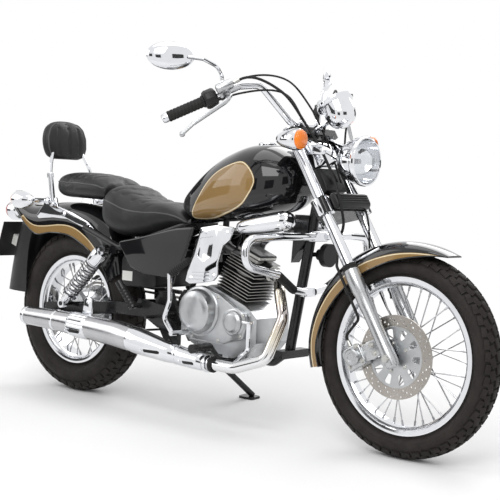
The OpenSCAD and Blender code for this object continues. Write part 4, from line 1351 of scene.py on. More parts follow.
@dataclass
class Headlamp:
    """Round chrome headlamp with a fluted lens, on its two ears."""

    at: Triple = (1174.0, 0.0, 893.0)
    rim_r: float = 77.0

    def build(self) -> None:
        """Build the lamp."""
        ahead = (1, 0, 0)
        bowl = [
            (0, 0), (16, 1), (32, 5), (46, 13), (57, 24), (66, 40), (71, 58), (73, 76), (76, 79), (77.4, 84),
            (77.4, 92), (76, 96), (72.5, 98)
        ]
        bowl += [(70, 96), (68.5, 88), (62, 66), (48, 44), (30, 32), (0, 28)]
        Shop.place(
            Shop.turned("bowl", bowl, self.at, ahead, 96), "headlamp_shell", Body.STEERING, CHROME,
            ["headlamp"]
        )
        lens = [
            (0, 109), (20, 108), (40, 105), (58, 100.5), (69.5, 95.5), (69.5, 92.5), (58, 97), (40, 101.5),
            (20, 104.5), (0, 105.5)
        ]
        Shop.place(Shop.turned("lens", lens, self.at, ahead, 96), "headlamp_lens", Body.STEERING, CLEAR)
        bulb = [(0, 26), (12, 26), (14, 34), (12, 46), (8, 52), (8, 66), (0, 70)]
        Shop.place(
            Shop.turned("bulb", bulb, self.at, ahead, 32), "headlamp_bulb", Body.STEERING, SATIN_CHROME
        )
        ear = [(-6, 700), (17, 694), (66, 664), (76, 668), (80, 682), (72, 694), (20, 752), (-6, 762)]
        lug = Shop.slab("ear", fork_side(ear), -70.5, -66, 1.5, 2)
        screw = Shop.bolt(at_fork(68, -70, 680), (0, -1, 0), 8, 7)
        stalk = Shop.tube("stalk", [at_fork(4, -40, 720), at_fork(4, -68, 724)], 8)
        Shop.place(
            Shop.both("ears", Shop.join("ear", [lug, screw, stalk])), "headlamp_ears", Body.STEERING, CHROME
        )
        low = [(-8, 566), (12, 566), (16, 600), (12, 648), (-8, 650)]
        Shop.place(Shop.slab("stay", fork_side(low), -52, 52, 4, 3), "headlamp_stay", Body.STEERING, PLASTIC)
        arch = [
            (-4, 656), (16, 652), (34, 668), (36, 700), (30, 730), (14, 754), (-6, 762), (4, 730), (6, 690)
        ]
        Shop.place(
            Shop.slab("arch", fork_side(arch), -46, 46, 5, 4), "headlamp_bracket", Body.STEERING, CHROME
        )


@dataclass
class Speedometer:
    """Round instrument in a chrome cup, with a plain dial."""

    at: Triple = (1136.0, 0.0, 1074.0)

    def build(self) -> None:
        """Build the instrument."""
        turn = Matrix.Rotation(math.radians(-35), 3, "Y")
        up = turn @ Vector(UP)
        cup = [
            (0, -84), (14, -84), (26, -81), (36, -74), (43, -64), (48, -50), (50, -36), (51, -12), (58, -8),
            (61.6, -3), (61.6, 3), (58, 5), (54, 4), (54, -2), (0, -2)
        ]
        Shop.place(
            Shop.turned("cup", cup, self.at, up, 80), "speedometer_cup", Body.STEERING, CHROME,
            ["speedometer"]
        )
        Shop.place(
            Shop.turned("dial", [(0, -1.6), (53.5, -1.6), (53.5, 0.2), (0, 0.2)], self.at, up, 64),
            "speedometer_dial", Body.STEERING, DIAL
        )
        marks = []
        for k in range(25):
            a = math.radians(-130 + 260 * k / 24)
            long = 9 if k % 4 == 0 else 5
            local = Vector((-math.cos(a) * (48 - long / 2), math.sin(a) * (48 - long / 2), 0.6))
            marks.append(
                Shop.block(
                    "mark", (long, 1.4, 0.6), Vector(self.at) + turn @ local,
                    turn @ Matrix.Rotation(-a, 3, "Z"), 0.1, 1
                )
            )
        marks.append(
            Shop.block(
                "needle", (40, 1.8, 0.8), Vector(self.at) + turn @ Vector((12, -12, 1.4)),
                turn @ Matrix.Rotation(math.radians(-45), 3, "Z"), 0.2, 1
            )
        )
        Shop.place(Shop.join("marks", marks), "speedometer_marks", Body.STEERING, WHITE_PAINT)
        glass = [(0, 3.6), (40, 3.0), (53.8, 1.6), (53.8, 0.8), (40, 2.2), (0, 2.8)]
        Shop.place(
            Shop.turned("glass", glass, self.at, up, 64), "speedometer_glass", Body.STEERING, METER_GLASS
        )
        stalk = Shop.tube("stalk", [at_fork(30.4, 0, 776), at_fork(122, 0, 776)], 9)
        Shop.place(stalk, "speedometer_stalk", Body.STEERING, CHROME)


@dataclass
class Handlebar:
    """Pulled-back bar with grips, pods, levers, reservoir, mirrors and cables."""

    bar_r: float = 12.5
    end: Triple = (771.0, -400.0, 996.0)
    knee: Triple = (925.0, -222.0, 1112.0)

    def grip_way(self) -> Vector:
        """Give the direction from the knee to the bar's end."""
        return (Vector(self.end) - Vector(self.knee)).normalized()

    def perch(self) -> Vector:
        """Give the place of the lever's clamp."""
        return Vector(self.end) - self.grip_way() * 205

    def bar(self) -> None:
        """Build the bar and its risers."""
        foot = at_fork(8.4, 0, 806)
        half = [(foot[0], -78, foot[2]), (968, -170, 1120), self.knee, self.end]
        full = half[::-1] + [(x, -y, z) for x, y, z in half]
        Shop.place(
            Shop.tube("bar", full, self.bar_r, 42, 24), "handlebar_tube", Body.STEERING, CHROME, ["handlebar"]
        )
        cap = Shop.slab(
            "riser",
            fork_side(
                [(-10, 789), (26, 789), (28, 800), (26, 816), (18, 822), (0, 822), (-10, 816), (-12, 800)]
            ), -51, -29, 2.5, 3
        )
        bolts = [Shop.bolt(at_fork(x, -40, 820), FORK_UP, 5, 5) for x in (-3, 20)]
        Shop.place(
            Shop.both("risers", Shop.join("riser", [cap, *bolts])), "handlebar_risers", Body.STEERING, CHROME
        )

    def grips(self) -> None:
        """Build the ribbed grips, the bar ends and the switch pods."""
        way, end = self.grip_way(), Vector(self.end)
        profile = [(12.5, 20), (16.8, 20), (17.6, 23), (16.8, 27)]
        for k in range(9):
            z = 30 + 11.6 * k
            profile += [(16.2, z), (17.2, z + 1.5), (17.2, z + 8), (16.2, z + 9.5)]
        profile += [(16.8, 134), (20, 137), (20, 140), (12.5, 140)]
        grip = Shop.turned("grip", profile, end, -way, 40)
        Shop.place(Shop.both("grips", grip), "handlebar_grips", Body.STEERING, RUBBER, ["grips"])
        cap = Shop.turned(
            "cap", [(0, -1), (9, -1), (14, 2), (15.6, 8), (15.6, 17), (13, 19.5), (0, 19.5)], end, -way, 36
        )
        Shop.place(Shop.both("caps", cap), "handlebar_end_caps", Body.STEERING, CHROME)
        pod = Shop.turned(
            "pod", [(0, 141), (24, 141), (29, 145), (31, 152), (31, 174), (28, 181), (22, 184.6), (0, 184.6)],
            end, -way, 8
        )
        Shop.bevel(pod, 3, 3)
        switch = Shop.block("switch", (12, 16, 9), end - way * 163 + Vector((-22, 0, 20)), None, 2, 2)
        Shop.place(Shop.both("pods", Shop.join("pod", [pod, switch])), "switch_pods", Body.STEERING, PLASTIC)

    def controls(self) -> None:
        """Build the perches, the levers and the brake's reservoir."""
        p, way = self.perch(), self.grip_way()
        clamp = Shop.turned(
            "perch", [(12.5, -12), (20, -12), (21.8, -9), (21.8, 9), (20, 12), (12.5, 12)], p, way, 32
        )
        knuckle = Shop.tube(
            "knuckle", [p + Vector((10, -2, -2)), p + Vector((26, -5, -6)), p + Vector((42, -12, -10))], 12,
            0, 16, [1.1, 1, 0.75]
        )
        route = [p + Vector(v) for v in ((40, -8, -8), (62, -50, -30), (20, -150, -105), (8, -186, -140))]
        path = rounded(route, 40)
        widths = [1.15 - 0.35 * k / (len(path) - 1) for k in range(len(path))]
        lever = Shop.tube("lever", path, 7, 0, 16, widths)
        ball = Shop.turned(
            "ball", [(0, -9), (5, -7.6), (8.4, -3.6), (9.2, 0), (8.4, 3.6), (5, 7.6), (0, 9)],
            route[-1] - Vector((0, -3, -2)), Vector(route[-1]) - Vector(route[-2]), 24
        )
        Shop.place(
            Shop.both("levers", Shop.join("lever", [clamp, knuckle, lever, ball])), "brake_and_clutch_levers",
            Body.STEERING, SILVER_PAINT, ["hand_levers"]
        )
        tank = p + Vector((26, -18, 20))
        cup = Shop.turned(
            "cup", [(0, -30), (12, -30), (16, -26), (16.8, -18), (16.8, 16), (15, 24), (0, 24)], tank, -way,
            40
        )
        block = Shop.block("base", (30, 26, 22), tank + Vector((-10, 8, -8)), None, 4, 3)
        Shop.place(Shop.join("reservoir", [cup, block]), "brake_reservoir", Body.STEERING, SILVER_PAINT)

    def mirrors(self) -> None:
        """Build the mirrors: oval shells, their glass and their stems."""
        foot = self.perch() + Vector((-4, 0, 36))
        stem_path = [
            foot + Vector((0, 0, -16)), foot + Vector((0, 0, 14)), foot + Vector((6, -34, 44)),
            Vector((868, -330, 1186)), Vector((836, -366, 1190))
        ]
        stem = Shop.tube("stem", stem_path, 5.8, 26, 16)
        nut = Shop.turned("nut", [(0, -14), (10, -14), (10, 0), (7, 3), (0, 3)], foot, UP, 6)
        turn = Matrix.Translation(Vector((795, -400, 1192)) * MM) @ Matrix.Rotation(math.radians(52), 4, "Z")
        shell = Shop.turned(
            "shell",
            [
                (0, -20), (0.35, -18.5), (0.62, -14.5), (0.84, -8), (0.96, 0), (1.0, 6), (0.985, 10),
                (0.93, 10), (0.92, 7), (0, 7)
            ], (0, 0, 0), UP, 64
        )
        shape = Matrix.Rotation(math.radians(-90), 4, "X")
        shell.data.transform(turn @ shape @ Matrix.Diagonal((75.0, 44.0, 1.0, 1.0)))
        Shop.edit(shell)
        Shop.close(shell)
        Shop.place(
            Shop.both("shells", Shop.join("shell", [shell, stem, nut])), "mirror_shells", Body.STEERING,
            CHROME, ["mirrors"]
        )
        glass = Shop.turned("glass", [(0, 7.2), (0.915, 7.2), (0.915, 8.6), (0, 9.0)], (0, 0, 0), UP, 64)
        glass.data.transform(turn @ shape @ Matrix.Diagonal((75.0, 44.0, 1.0, 1.0)))
        Shop.edit(glass)
        Shop.close(glass)
        Shop.place(Shop.both("glasses", glass), "mirror_glasses", Body.STEERING, MIRROR)

    def cables(self) -> None:
        """Build the brake hose and the control cables, each held at both its ends."""
        way = self.grip_way()
        tank = self.perch() + Vector((26, -18, 20))
        route = [
            tank - way * 30, tank - way * 66, at_fork(64, -150, 890), at_fork(52, -78, 790),
            at_fork(44, -76, 474), at_fork(24, -66, 440), at_fork(-20, -66, 400), at_fork(-44, -92, 330),
            at_fork(-44, -96, 150), at_fork(-112, -96, 126), at_fork(-112, -96, 90.5)
        ]
        hose = Shop.tube(
            "hose", rounded([*smooth([tuple(p) for p in route[:7]], 48), *route[7:]], 14), 4.4, 0, 16
        )
        clip = Shop.tube("clip", [at_fork(-44, -94, 236), at_fork(-44, -94, 252)], 8)
        Shop.place(Shop.join("hose", [hose, clip]), "brake_hose_line", Body.STEERING, RUBBER, ["brake_hose"])
        ends = [
            Shop.turned("end", [(0, 0), (6.4, 0), (6.4, 16), (5, 20), (0, 20)], a, b, 16) for a,
            b in ((tank - way * 28, -way), (at_fork(-112, -96, 90.2), FORK_UP))
        ]
        Shop.place(Shop.join("ends", ends), "brake_hose_ends", Body.STEERING, ZINC)
        pod = Vector(self.end) - way * 172
        routes = [
            [
                pod + Vector((18, 6, -8)), pod + Vector((70, 40, 14)), at_fork(60, -120, 880),
                at_fork(40, -60, 800), at_fork(34, -30, 700), at_fork(24, -10, 590)
            ],
            [
                pod + Vector((16, 10, 14)), pod + Vector((60, 46, 56)), at_fork(70, -96, 930),
                at_fork(58, -20, 850), at_fork(34, 26, 720), at_fork(24, 20, 590)
            ],
        ]
        clutch = self.perch()
        clutch.y = -clutch.y
        routes.append(
            [
                clutch + Vector((40, 8, -8)), clutch + Vector((90, -40, 6)), at_fork(90, 110, 900),
                at_fork(66, 30, 800), at_fork(36, -20, 700), at_fork(24, 2, 590)
            ]
        )
        routes.append(
            [
                Vector((1136, 12, 1074)) + Vector((44, 0, -66)), at_fork(112, 40, 740), at_fork(34, 66, 640),
                at_fork(32, 66, 460), at_fork(-22, 64, 330), at_fork(-30, 62, 120), (1448, 46, 330)
            ]
        )
        cables = [Shop.tube("cable", smooth([tuple(p) for p in r], 72), 3.2, 0, 12) for r in routes]
        Shop.place(Shop.join("cables", cables), "control_cables", Body.STEERING, RUBBER)

    def build(self) -> None:
        """Build the handlebar and all on it."""
        self.bar()
        self.grips()
        self.controls()
        self.mirrors()
        self.cables()


@dataclass
class SignalPair:
    """A pair of bullet signals with amber lenses."""

    name: str
    body: Body
    nose: Triple
    ahead: Triple
    root: Triple
    node: str

    def build(self) -> None:
        """Build the signals."""
        bowl = [
            (0, 0), (8, 2), (15, 9), (22, 22), (27, 36), (31, 52), (34, 70), (34, 80), (33, 90), (31, 92),
            (30.5, 84), (0, 82)
        ]
        shell = Shop.turned("shell", bowl, self.nose, self.ahead, 48)
        mid = Vector(self.nose) + Vector(self.ahead) * 46
        stalk = Shop.tube("stalk", [self.root, mid], 8.5)
        boss = Shop.turned(
            "boss", [(0, 0), (13, 0), (13, 6), (10, 10), (0, 10)], Vector(self.root), mid - Vector(self.root),
            28
        )
        Shop.place(
            Shop.both("shells", Shop.join("shell", [shell, stalk, boss])), f"{self.name}_shells", self.body,
            CHROME, [self.node]
        )
        lens = [
            (0, 107.5), (10, 107), (20, 104.5), (27, 100), (30.4, 94), (30.4, 84), (28, 84), (28, 92),
            (18, 101), (0, 104)
        ]
        Shop.place(
            Shop.both("lenses", Shop.turned("lens", lens, self.nose, self.ahead, 48)), f"{self.name}_lenses",
            self.body, AMBER
        )


# ---------------------------------------------------------------- bodywork


def curved_band(points: Sequence[Point], level: float) -> list[Point]:
    """Close a panel's upper line underneath at one level."""
    return [*points, (points[-1][0] + 40, level), (points[0][0] - 60, level)]


@dataclass
class FrontFender:
    """Deep front fender with a painted lower band and rolled edges."""

    crown_r: float = 346.0
    half: float = 68.0
    band: tuple = (
        (340, 24), (327, 14), (317, 4), (309, -8), (306, -24), (308, -40), (312, -58), (318, -76), (322, -92),
        (322, -112)
    )
    rows: tuple = (
        (25, 341, 0.56), (18, 326, 0.76), (8, 306, 0.94), (-6, 288, 1), (-22, 276, 1), (-40, 274, 1),
        (-58, 278, 1), (-76, 289, 1), (-92, 297, 0.98), (-103, 296, 0.9)
    )

    def spot(self, radius: float, angle: float) -> tuple[float, float]:
        """Give X and Z at a radius and an angle ahead of straight up."""
        a = math.radians(angle)
        return (FRONT_AXLE[0] + radius * math.sin(a), FRONT_AXLE[2] + radius * math.cos(a))

    def build(self) -> None:
        """Build the fender, its edge and its stays."""
        rings = [
            hood(self.spot(self.crown_r, a), self.spot(r, a), self.half * s, 36) for a, r,
            s in smooth(self.rows, 72)
        ]
        fender = Shop.surface("fender", rings, False)
        panel_mask(
            fender,
            [self.spot(r, a) for r, a in self.band] + [
                self.spot(236, -112), self.spot(220, -50), self.spot(250, 10), self.spot(338, 30)
            ]
        )
        Shop.modify(fender, "SOLIDIFY", thickness=3 * MM, offset=-1.0)
        Shop.place(fender, "front_fender_painted", Body.STEERING, PAINT, ["front_fender"], 50)
        edge = [r[0] for r in rings] + [r[-1] for r in reversed(rings)]
        Shop.place(
            Shop.tube("edge", edge, 2.2, 0, 10, cyclic=True), "front_fender_edge", Body.STEERING, GLOSS_BLACK
        )
        stay = Shop.tube(
            "stay",
            [
                at_fork(0, -72, 250), (*self.spot(322, -38)[:1], -70.5, self.spot(322, -38)[1]),
                (*self.spot(330, -14)[:1], -62, self.spot(330, -14)[1])
            ], 4, 20
        )
        pads = [Shop.bolt(at_fork(0, -70.6, s), (0, -1, 0), 6, 3) for s in (236, 262)]
        Shop.place(
            Shop.both("stays", Shop.join("stay", [stay, *pads])), "front_fender_stays", Body.STEERING, CHROME
        )


@dataclass
class RearBodywork:
    """Rear fender, mudguard, lamp and plate."""

    half: float = 90.0
    rows: tuple = (
        (272, 470, 214, 430, 0.90), (252, 560, 192, 478, 0.95), (192, 644, 138, 524, 0.98),
        (110, 691, 67, 564, 1), (0, 708, -3, 588, 1), (-110, 706, -100, 591, 1), (-200, 694, -189, 582, 1),
        (-262, 690, -243, 606, 0.95), (-330, 701, -304, 648, 0.85), (-392, 713, -370, 690, 0.68)
    )
    guard: tuple = (
        (-285, 690.3, -216, 604, 74), (-320, 636, -228, 580, 74), (-350, 560, -240, 530, 76),
        (-378, 460, -248, 440, 76), (-400, 352, -248, 350, 76)
    )
    band: tuple = (
        (-292, 663), (-250, 632), (-196, 612), (-124, 616), (-42, 627), (27, 621), (92, 592), (146, 552),
        (166, 520)
    )

    def fender(self) -> None:
        """Build the fender with its band and edge."""
        rings = [hood((a, b), (c, d), self.half * s, 36) for a, b, c, d, s in smooth(self.rows, 88)]
        fender = Shop.surface("fender", rings, False)
        panel_mask(fender, curved_band(self.band, 380))
        Shop.modify(fender, "SOLIDIFY", thickness=3 * MM, offset=-1.0)
        Shop.place(fender, "rear_fender_painted", Body.CHASSIS, PAINT, ["rear_fender"], 50)
        edge = [r[0] for r in rings] + [r[-1] for r in reversed(rings)]
        Shop.place(
            Shop.tube("edge", edge, 2.2, 0, 10, cyclic=True), "rear_fender_edge", Body.CHASSIS, GLOSS_BLACK
        )
        flap = [hood((a, b), (c, d), h, 28) for a, b, c, d, h in smooth(self.guard, 40)]
        mud = Shop.modify(Shop.surface("mud", flap, False), "SOLIDIFY", thickness=3 * MM, offset=-1.0)
        Shop.place(mud, "rear_mudguard_moulded", Body.CHASSIS, PLASTIC, ["rear_mudguard"], 50)

    def lamp(self) -> None:
        """Build the tail lamp."""
        at, back = (-374.3, 0, 660), (-1, 0, 0)
        shell = [
            (0, 0), (26, 0), (33, 7), (36.4, 14), (39, 26), (40, 34), (40, 50), (38, 52.5), (36, 50), (0, 48)
        ]
        Shop.place(
            Shop.turned("shell", shell, at, back, 64), "tail_lamp_shell", Body.CHASSIS, CHROME, ["tail_lamp"]
        )
        lens = [(0, 49), (36.6, 49), (37, 53), (34.5, 62), (30, 71), (20, 79), (8, 83), (0, 83.6)]
        Shop.place(Shop.turned("lens", lens, at, back, 64), "tail_lamp_lens", Body.CHASSIS, RED)

    def plate(self) -> None:
        """Build the black holder of the blank plate."""
        turn = Matrix.Rotation(math.radians(18), 3, "Y")
        at = Vector((-390, 0, 545))
        back = Shop.block("back", (3, 184, 144), at + turn @ Vector((-8.2, 0, 0)), turn, 1.2, 2)
        Shop.place(back, "number_plate_holder", Body.CHASSIS, PLASTIC)

    def build(self) -> None:
        """Build the tail."""
        self.plate()
        self.fender()
        self.lamp()


@dataclass
class FuelTank:
    """Teardrop tank with a painted panel on each side, and its cap."""

    half: float = 150.0
    rows: tuple = (
        (528, 0.20, 722, 729, 736), (560, 0.44, 701, 722, 770), (606, 0.62, 670, 722, 812),
        (690, 0.80, 674, 752, 874), (780, 0.94, 684, 775, 917), (860, 1.0, 700, 790, 938),
        (930, 0.96, 712, 800, 934), (975, 0.83, 726, 808, 913), (1012, 0.64, 752, 818, 888),
        (1036, 0.42, 782, 826, 864)
    )
    panel: tuple = (
        (614, 682), (650, 732), (703, 798), (744, 836), (786, 858), (828, 873), (869, 883), (898, 872),
        (924, 850), (939, 821), (932, 796), (918, 774), (898, 752), (874, 736), (820, 714), (728, 687),
        (670, 680)
    )

    def build(self) -> None:
        """Build the tank."""
        rings = [rib((x, self.half * w, a, b, c), 0.82, 96) for x, w, a, b, c in smooth(self.rows, 60)]
        tank = Shop.surface("tank", rings, True, True)
        panel_mask(tank, self.panel)
        Shop.modify(tank, "SUBSURF", levels=1, render_levels=1)
        Shop.place(tank, "fuel_tank_painted", Body.CHASSIS, PAINT, ["fuel_tank"], 60)
        cap = [(0, -3), (29.5, -3), (29.5, 8), (27, 11.5), (22, 13), (20, 11.5), (8, 12.4), (0, 12.4)]
        ring = [(28, -6), (36, -6), (36, -1), (32, 1.5), (28, 1.5)]
        at = (868, 0, 934)
        Shop.place(
            Shop.join("cap", [Shop.turned("cap", cap, at, UP, 64), Shop.turned("ring", ring, at, UP, 64)]),
            "fuel_cap", Body.CHASSIS, CHROME
        )


@dataclass
class Cushion:
    """A padded leather piece blown up by cloth simulation, then sewn and piped.

    Attributes:
        name: the piece's name.
        node: the CAD solid that it stands for.
        rings: its sections, already a little small.
        swell: how far the simulation may move a point, in millimetres.
        voxel: size of the remesh.
        channels: sewn lines, as points in millimetres.
        depth: depth of the sewn channels.
        piping: lines that carry piping.
    """

    name: str
    node: str
    rings: list
    swell: float = 11.0
    voxel: float = 5.5
    channels: list = field(default_factory=list)
    depth: float = 4.5
    piping: list = field(default_factory=list)

    def blow(self, obj: Obj) -> None:
        """Run the cloth under pressure, hold its movement back and apply it."""
        rest = points_of(obj)
        group = obj.vertex_groups.new(name="hold")
        low = rest[:, 2].min()
        held = [i for i, z in enumerate(rest[:, 2]) if z < low + 0.012]
        group.add(held, 1.0, "REPLACE")
        cloth = obj.modifiers.new("cloth", "CLOTH")
        cloth.settings.use_pressure, cloth.settings.uniform_pressure_force = True, 4.0
        cloth.settings.quality, cloth.settings.effector_weights.gravity = 5, 0.0
        cloth.settings.vertex_group_mass = "hold"
        cloth.point_cache.frame_start, cloth.point_cache.frame_end = 1, 20
        for frame in range(1, 21):
            bpy.context.scene.frame_set(frame)
        Shop.take(obj)
        bpy.ops.object.modifier_apply(modifier=cloth.name)
        move = points_of(obj) - rest
        reach = np.linalg.norm(move, axis=1, keepdims=True)
        limit = self.swell * MM
        soft = limit * np.tanh(reach / limit)
        move_points(obj, rest + move * np.where(reach > 1e-9, soft / np.maximum(reach, 1e-9), 1))
        bpy.context.scene.frame_set(1)

    def sew(self, obj: Obj) -> None:
        """Press the sewn channels into the cover."""
        count = len(obj.data.vertices)
        co, no = points_of(obj), np.empty(count * 3)
        obj.data.vertex_normals.foreach_get("vector", no)
        no = no.reshape(-1, 3)
        sink = np.zeros(count)
        for line in self.channels:
            pts = np.array([tuple(p) for p in rounded(line, 30, 5)], float) * MM
            near = np.full(count, 1.0)
            for a, b in zip(pts, pts[1:]):
                e = b - a
                t = np.clip(((co - a) @ e) / max(e @ e, 1e-12), 0, 1)
                near = np.minimum(near, np.linalg.norm(co - a - t[:, None] * e, axis=1))
            sink = np.maximum(sink, self.depth * MM * np.exp(-((near / 0.0065) ** 2)))
        move_points(obj, co - no * sink[:, None])

    def build(self) -> None:
        """Build the cushion and its piping."""
        pad = Shop.surface(self.name, self.rings, True, True)
        Shop.modify(pad, "REMESH", mode="VOXEL", voxel_size=self.voxel * MM)
        self.blow(pad)
        Shop.modify(pad, "SMOOTH", factor=0.5, iterations=4)
        Shop.modify(pad, "SUBSURF", levels=1, render_levels=1)
        self.channels = [self.on_cover(pad, line) for line in self.channels]
        self.sew(pad)
        tree = BVHTree.FromObject(pad, bpy.context.evaluated_depsgraph_get())
        pipes = []
        for line, closed in self.piping:
            points = [tree.find_nearest(p * MM)[0] / MM for p in rounded(line, 24, 5)]
            pipes.append(Shop.tube("piping", points, 2.6, 0, 12, cyclic=closed))
        Shop.place(pad, self.name, Body.CHASSIS, LEATHER, [self.node], 80)
        if pipes:
            Shop.place(Shop.join("piping", pipes), f"{self.name}_piping", Body.CHASSIS, PIPING)

    @staticmethod
    def on_cover(obj: Obj, line: Sequence[Point]) -> list[Vector]:
        """Move a line's points onto the cover."""
        tree = BVHTree.FromObject(obj, bpy.context.evaluated_depsgraph_get())
        return [tree.find_nearest(p * MM)[0] / MM for p in rounded(line, 24, 5)]


def shrunk(ring: Sequence[Point], by: float) -> list[Point]:
    """Draw a section's points towards its middle by a distance."""
    pts = np.array(ring, float)
    out = pts - pts.mean(axis=0)
    size = np.linalg.norm(out, axis=1, keepdims=True)
    return [tuple(p) for p in pts - out / np.maximum(size, 1e-9) * np.minimum(by, size * 0.5)]


@dataclass
class Seats:
    """Rider's seat, passenger's seat and backrest pad, with the backrest's frame."""

    rider: tuple = (
        (207, 0.78, 640, 700, 762), (228, 0.93, 612, 690, 781), (270, 1, 597, 680, 777),
        (330, 0.98, 594, 672, 746), (400, 0.90, 607, 672, 728), (480, 0.77, 630, 676, 722),
        (545, 0.66, 645, 675, 700), (600, 0.56, 652, 660, 667)
    )
    rear: tuple = (
        (-92, 58, 742, 772, 796), (-70, 92, 726, 768, 816), (0, 110, 722, 766, 821),
        (100, 118, 720, 762, 819), (170, 117, 720, 760, 806), (204, 108, 722, 752, 792)
    )
    pad: tuple = (
        (868, 20, 62), (880, 28, 92), (910, 32, 105), (950, 33, 106), (985, 30, 92), (1004, 22, 66),
        (1012, 10, 34)
    )
    shrink: float = 5.0

    def rider_seat(self) -> Cushion:
        """Give the rider's seat, with its crescent channels and side piping."""
        rows = smooth(self.rider, 44)
        rings = [shrunk(rib((x, 152 * w, a, b, c), 0.75, 56), self.shrink) for x, w, a, b, c in rows]
        channels = []
        for x, w in ((262, 112), (300, 104), (340, 96), (382, 86)):
            line = ((x, w), (x + 28, w * 0.3), (x + 28, -w * 0.3), (x, -w))
            channels.append([(p, y, float(np.interp(p, rows[:, 0], rows[:, 4])) - 6) for p, y in line])
        side = [(x, -152 * w * 0.93, b + (c - b) * 0.42) for x, w, a, b, c in rows[3:-1]]
        piping = [(side, False), ([(x, -y, z) for x, y, z in side], False)]
        return Cushion("rider_seat_leather", "rider_seat", rings, 10.0, 5.5, channels, 4.5, piping)

    def passenger_seat(self) -> Cushion:
        """Give the passenger's seat, with crosswise channels and piping round it."""
        rows = smooth(self.rear, 36)
        rings = [shrunk(rib(tuple(r), 0.75, 56), self.shrink) for r in rows]
        channels = [
            [(x, -88, 812), (x + 16, -30, 818), (x + 16, 30, 818), (x, 88, 812)]
            for x in (-30, 10, 50, 90, 130)
        ]
        side = [(x, -w * 0.96, b + (c - b) * 0.35) for x, w, a, b, c in rows[1:-1]]
        loop = side + [(x, -y, z) for x, y, z in reversed(side)]
        return Cushion(
            "passenger_seat_leather", "passenger_seat", rings, 10.0, 5.0, channels, 4.5, [(loop, True)]
        )

    def backrest_pad(self) -> Cushion:
        """Give the crowned backrest pad, piped round its front."""
        rings = []
        for z, hx, hy in smooth(self.pad, 26):
            mid = -134 - 0.12 * (z - 868)
            ring = []
            for k in range(52):
                a = 2 * math.pi * k / 52
                ring.append((mid + hx * power(math.cos(a), 0.8), hy * power(math.sin(a), 0.8), z))
            rings.append(shrunk(ring, 3.5))
        loop = [(-134 - 0.12 * (z - 868) + hx * 0.72, hy * 0.92, z) for z, hx, hy in self.pad[1:-1]]
        loop += [(x, -y, z) for x, y, z in reversed(loop)]
        line = [[(-108, y, 890), (-112, y * 1.04, 940), (-120, y * 0.92, 984)] for y in (-52, 0, 52)]
        return Cushion("backrest_pad_leather", "backrest_pad", rings, 7.0, 4.5, line, 3.2, [(loop, True)])

    def frame(self) -> None:
        """Build the backrest's legs and cast side plates."""
        outline = [
            (-178, 652), (-140, 694), (-122, 724), (-68, 724), (-56, 690), (30, 672), (110, 644), (150, 616),
            (144, 600), (100, 616), (0, 646), (-80, 648), (-165, 640)
        ]
        plate = Shop.slab("plate", outline, -97.6, -87.8, 3.2, 4)
        leg = Shop.tube("leg", [(-82, -100, 712), (-98, -102, 815)], 10.8, 0, 20, [1.0, 0.85])
        hoop = Shop.tube(
            "hoop",
            [(-98, -102, 808), (-98, -102, 816), (-108, -92, 850), (-122, -74, 890), (-132, -66, 926)], 7, 24,
            16
        )
        collar = Shop.turned(
            "collar", [(0, -3), (12.5, -3), (12.5, 12), (10, 15), (0, 15)], (-97, -102, 800), (-0.15, 0, 1),
            32
        )
        bolts = [Shop.bolt((x, -97.4, z), (0, -1, 0), 8, 6) for x, z in ((-92, 700), (-22, 666), (122, 621))]
        Shop.place(
            Shop.both("backrest", Shop.join("side", [plate, leg, hoop, collar, *bolts])), "backrest_chrome",
            Body.CHASSIS, CHROME, ["backrest_frame"]
        )

    def build(self) -> None:
        """Build the seats."""
        for cushion in (self.rider_seat(), self.passenger_seat(), self.backrest_pad()):
            cushion.build()
        self.frame()


# ---------------------------------------------------------------- engine and chassis


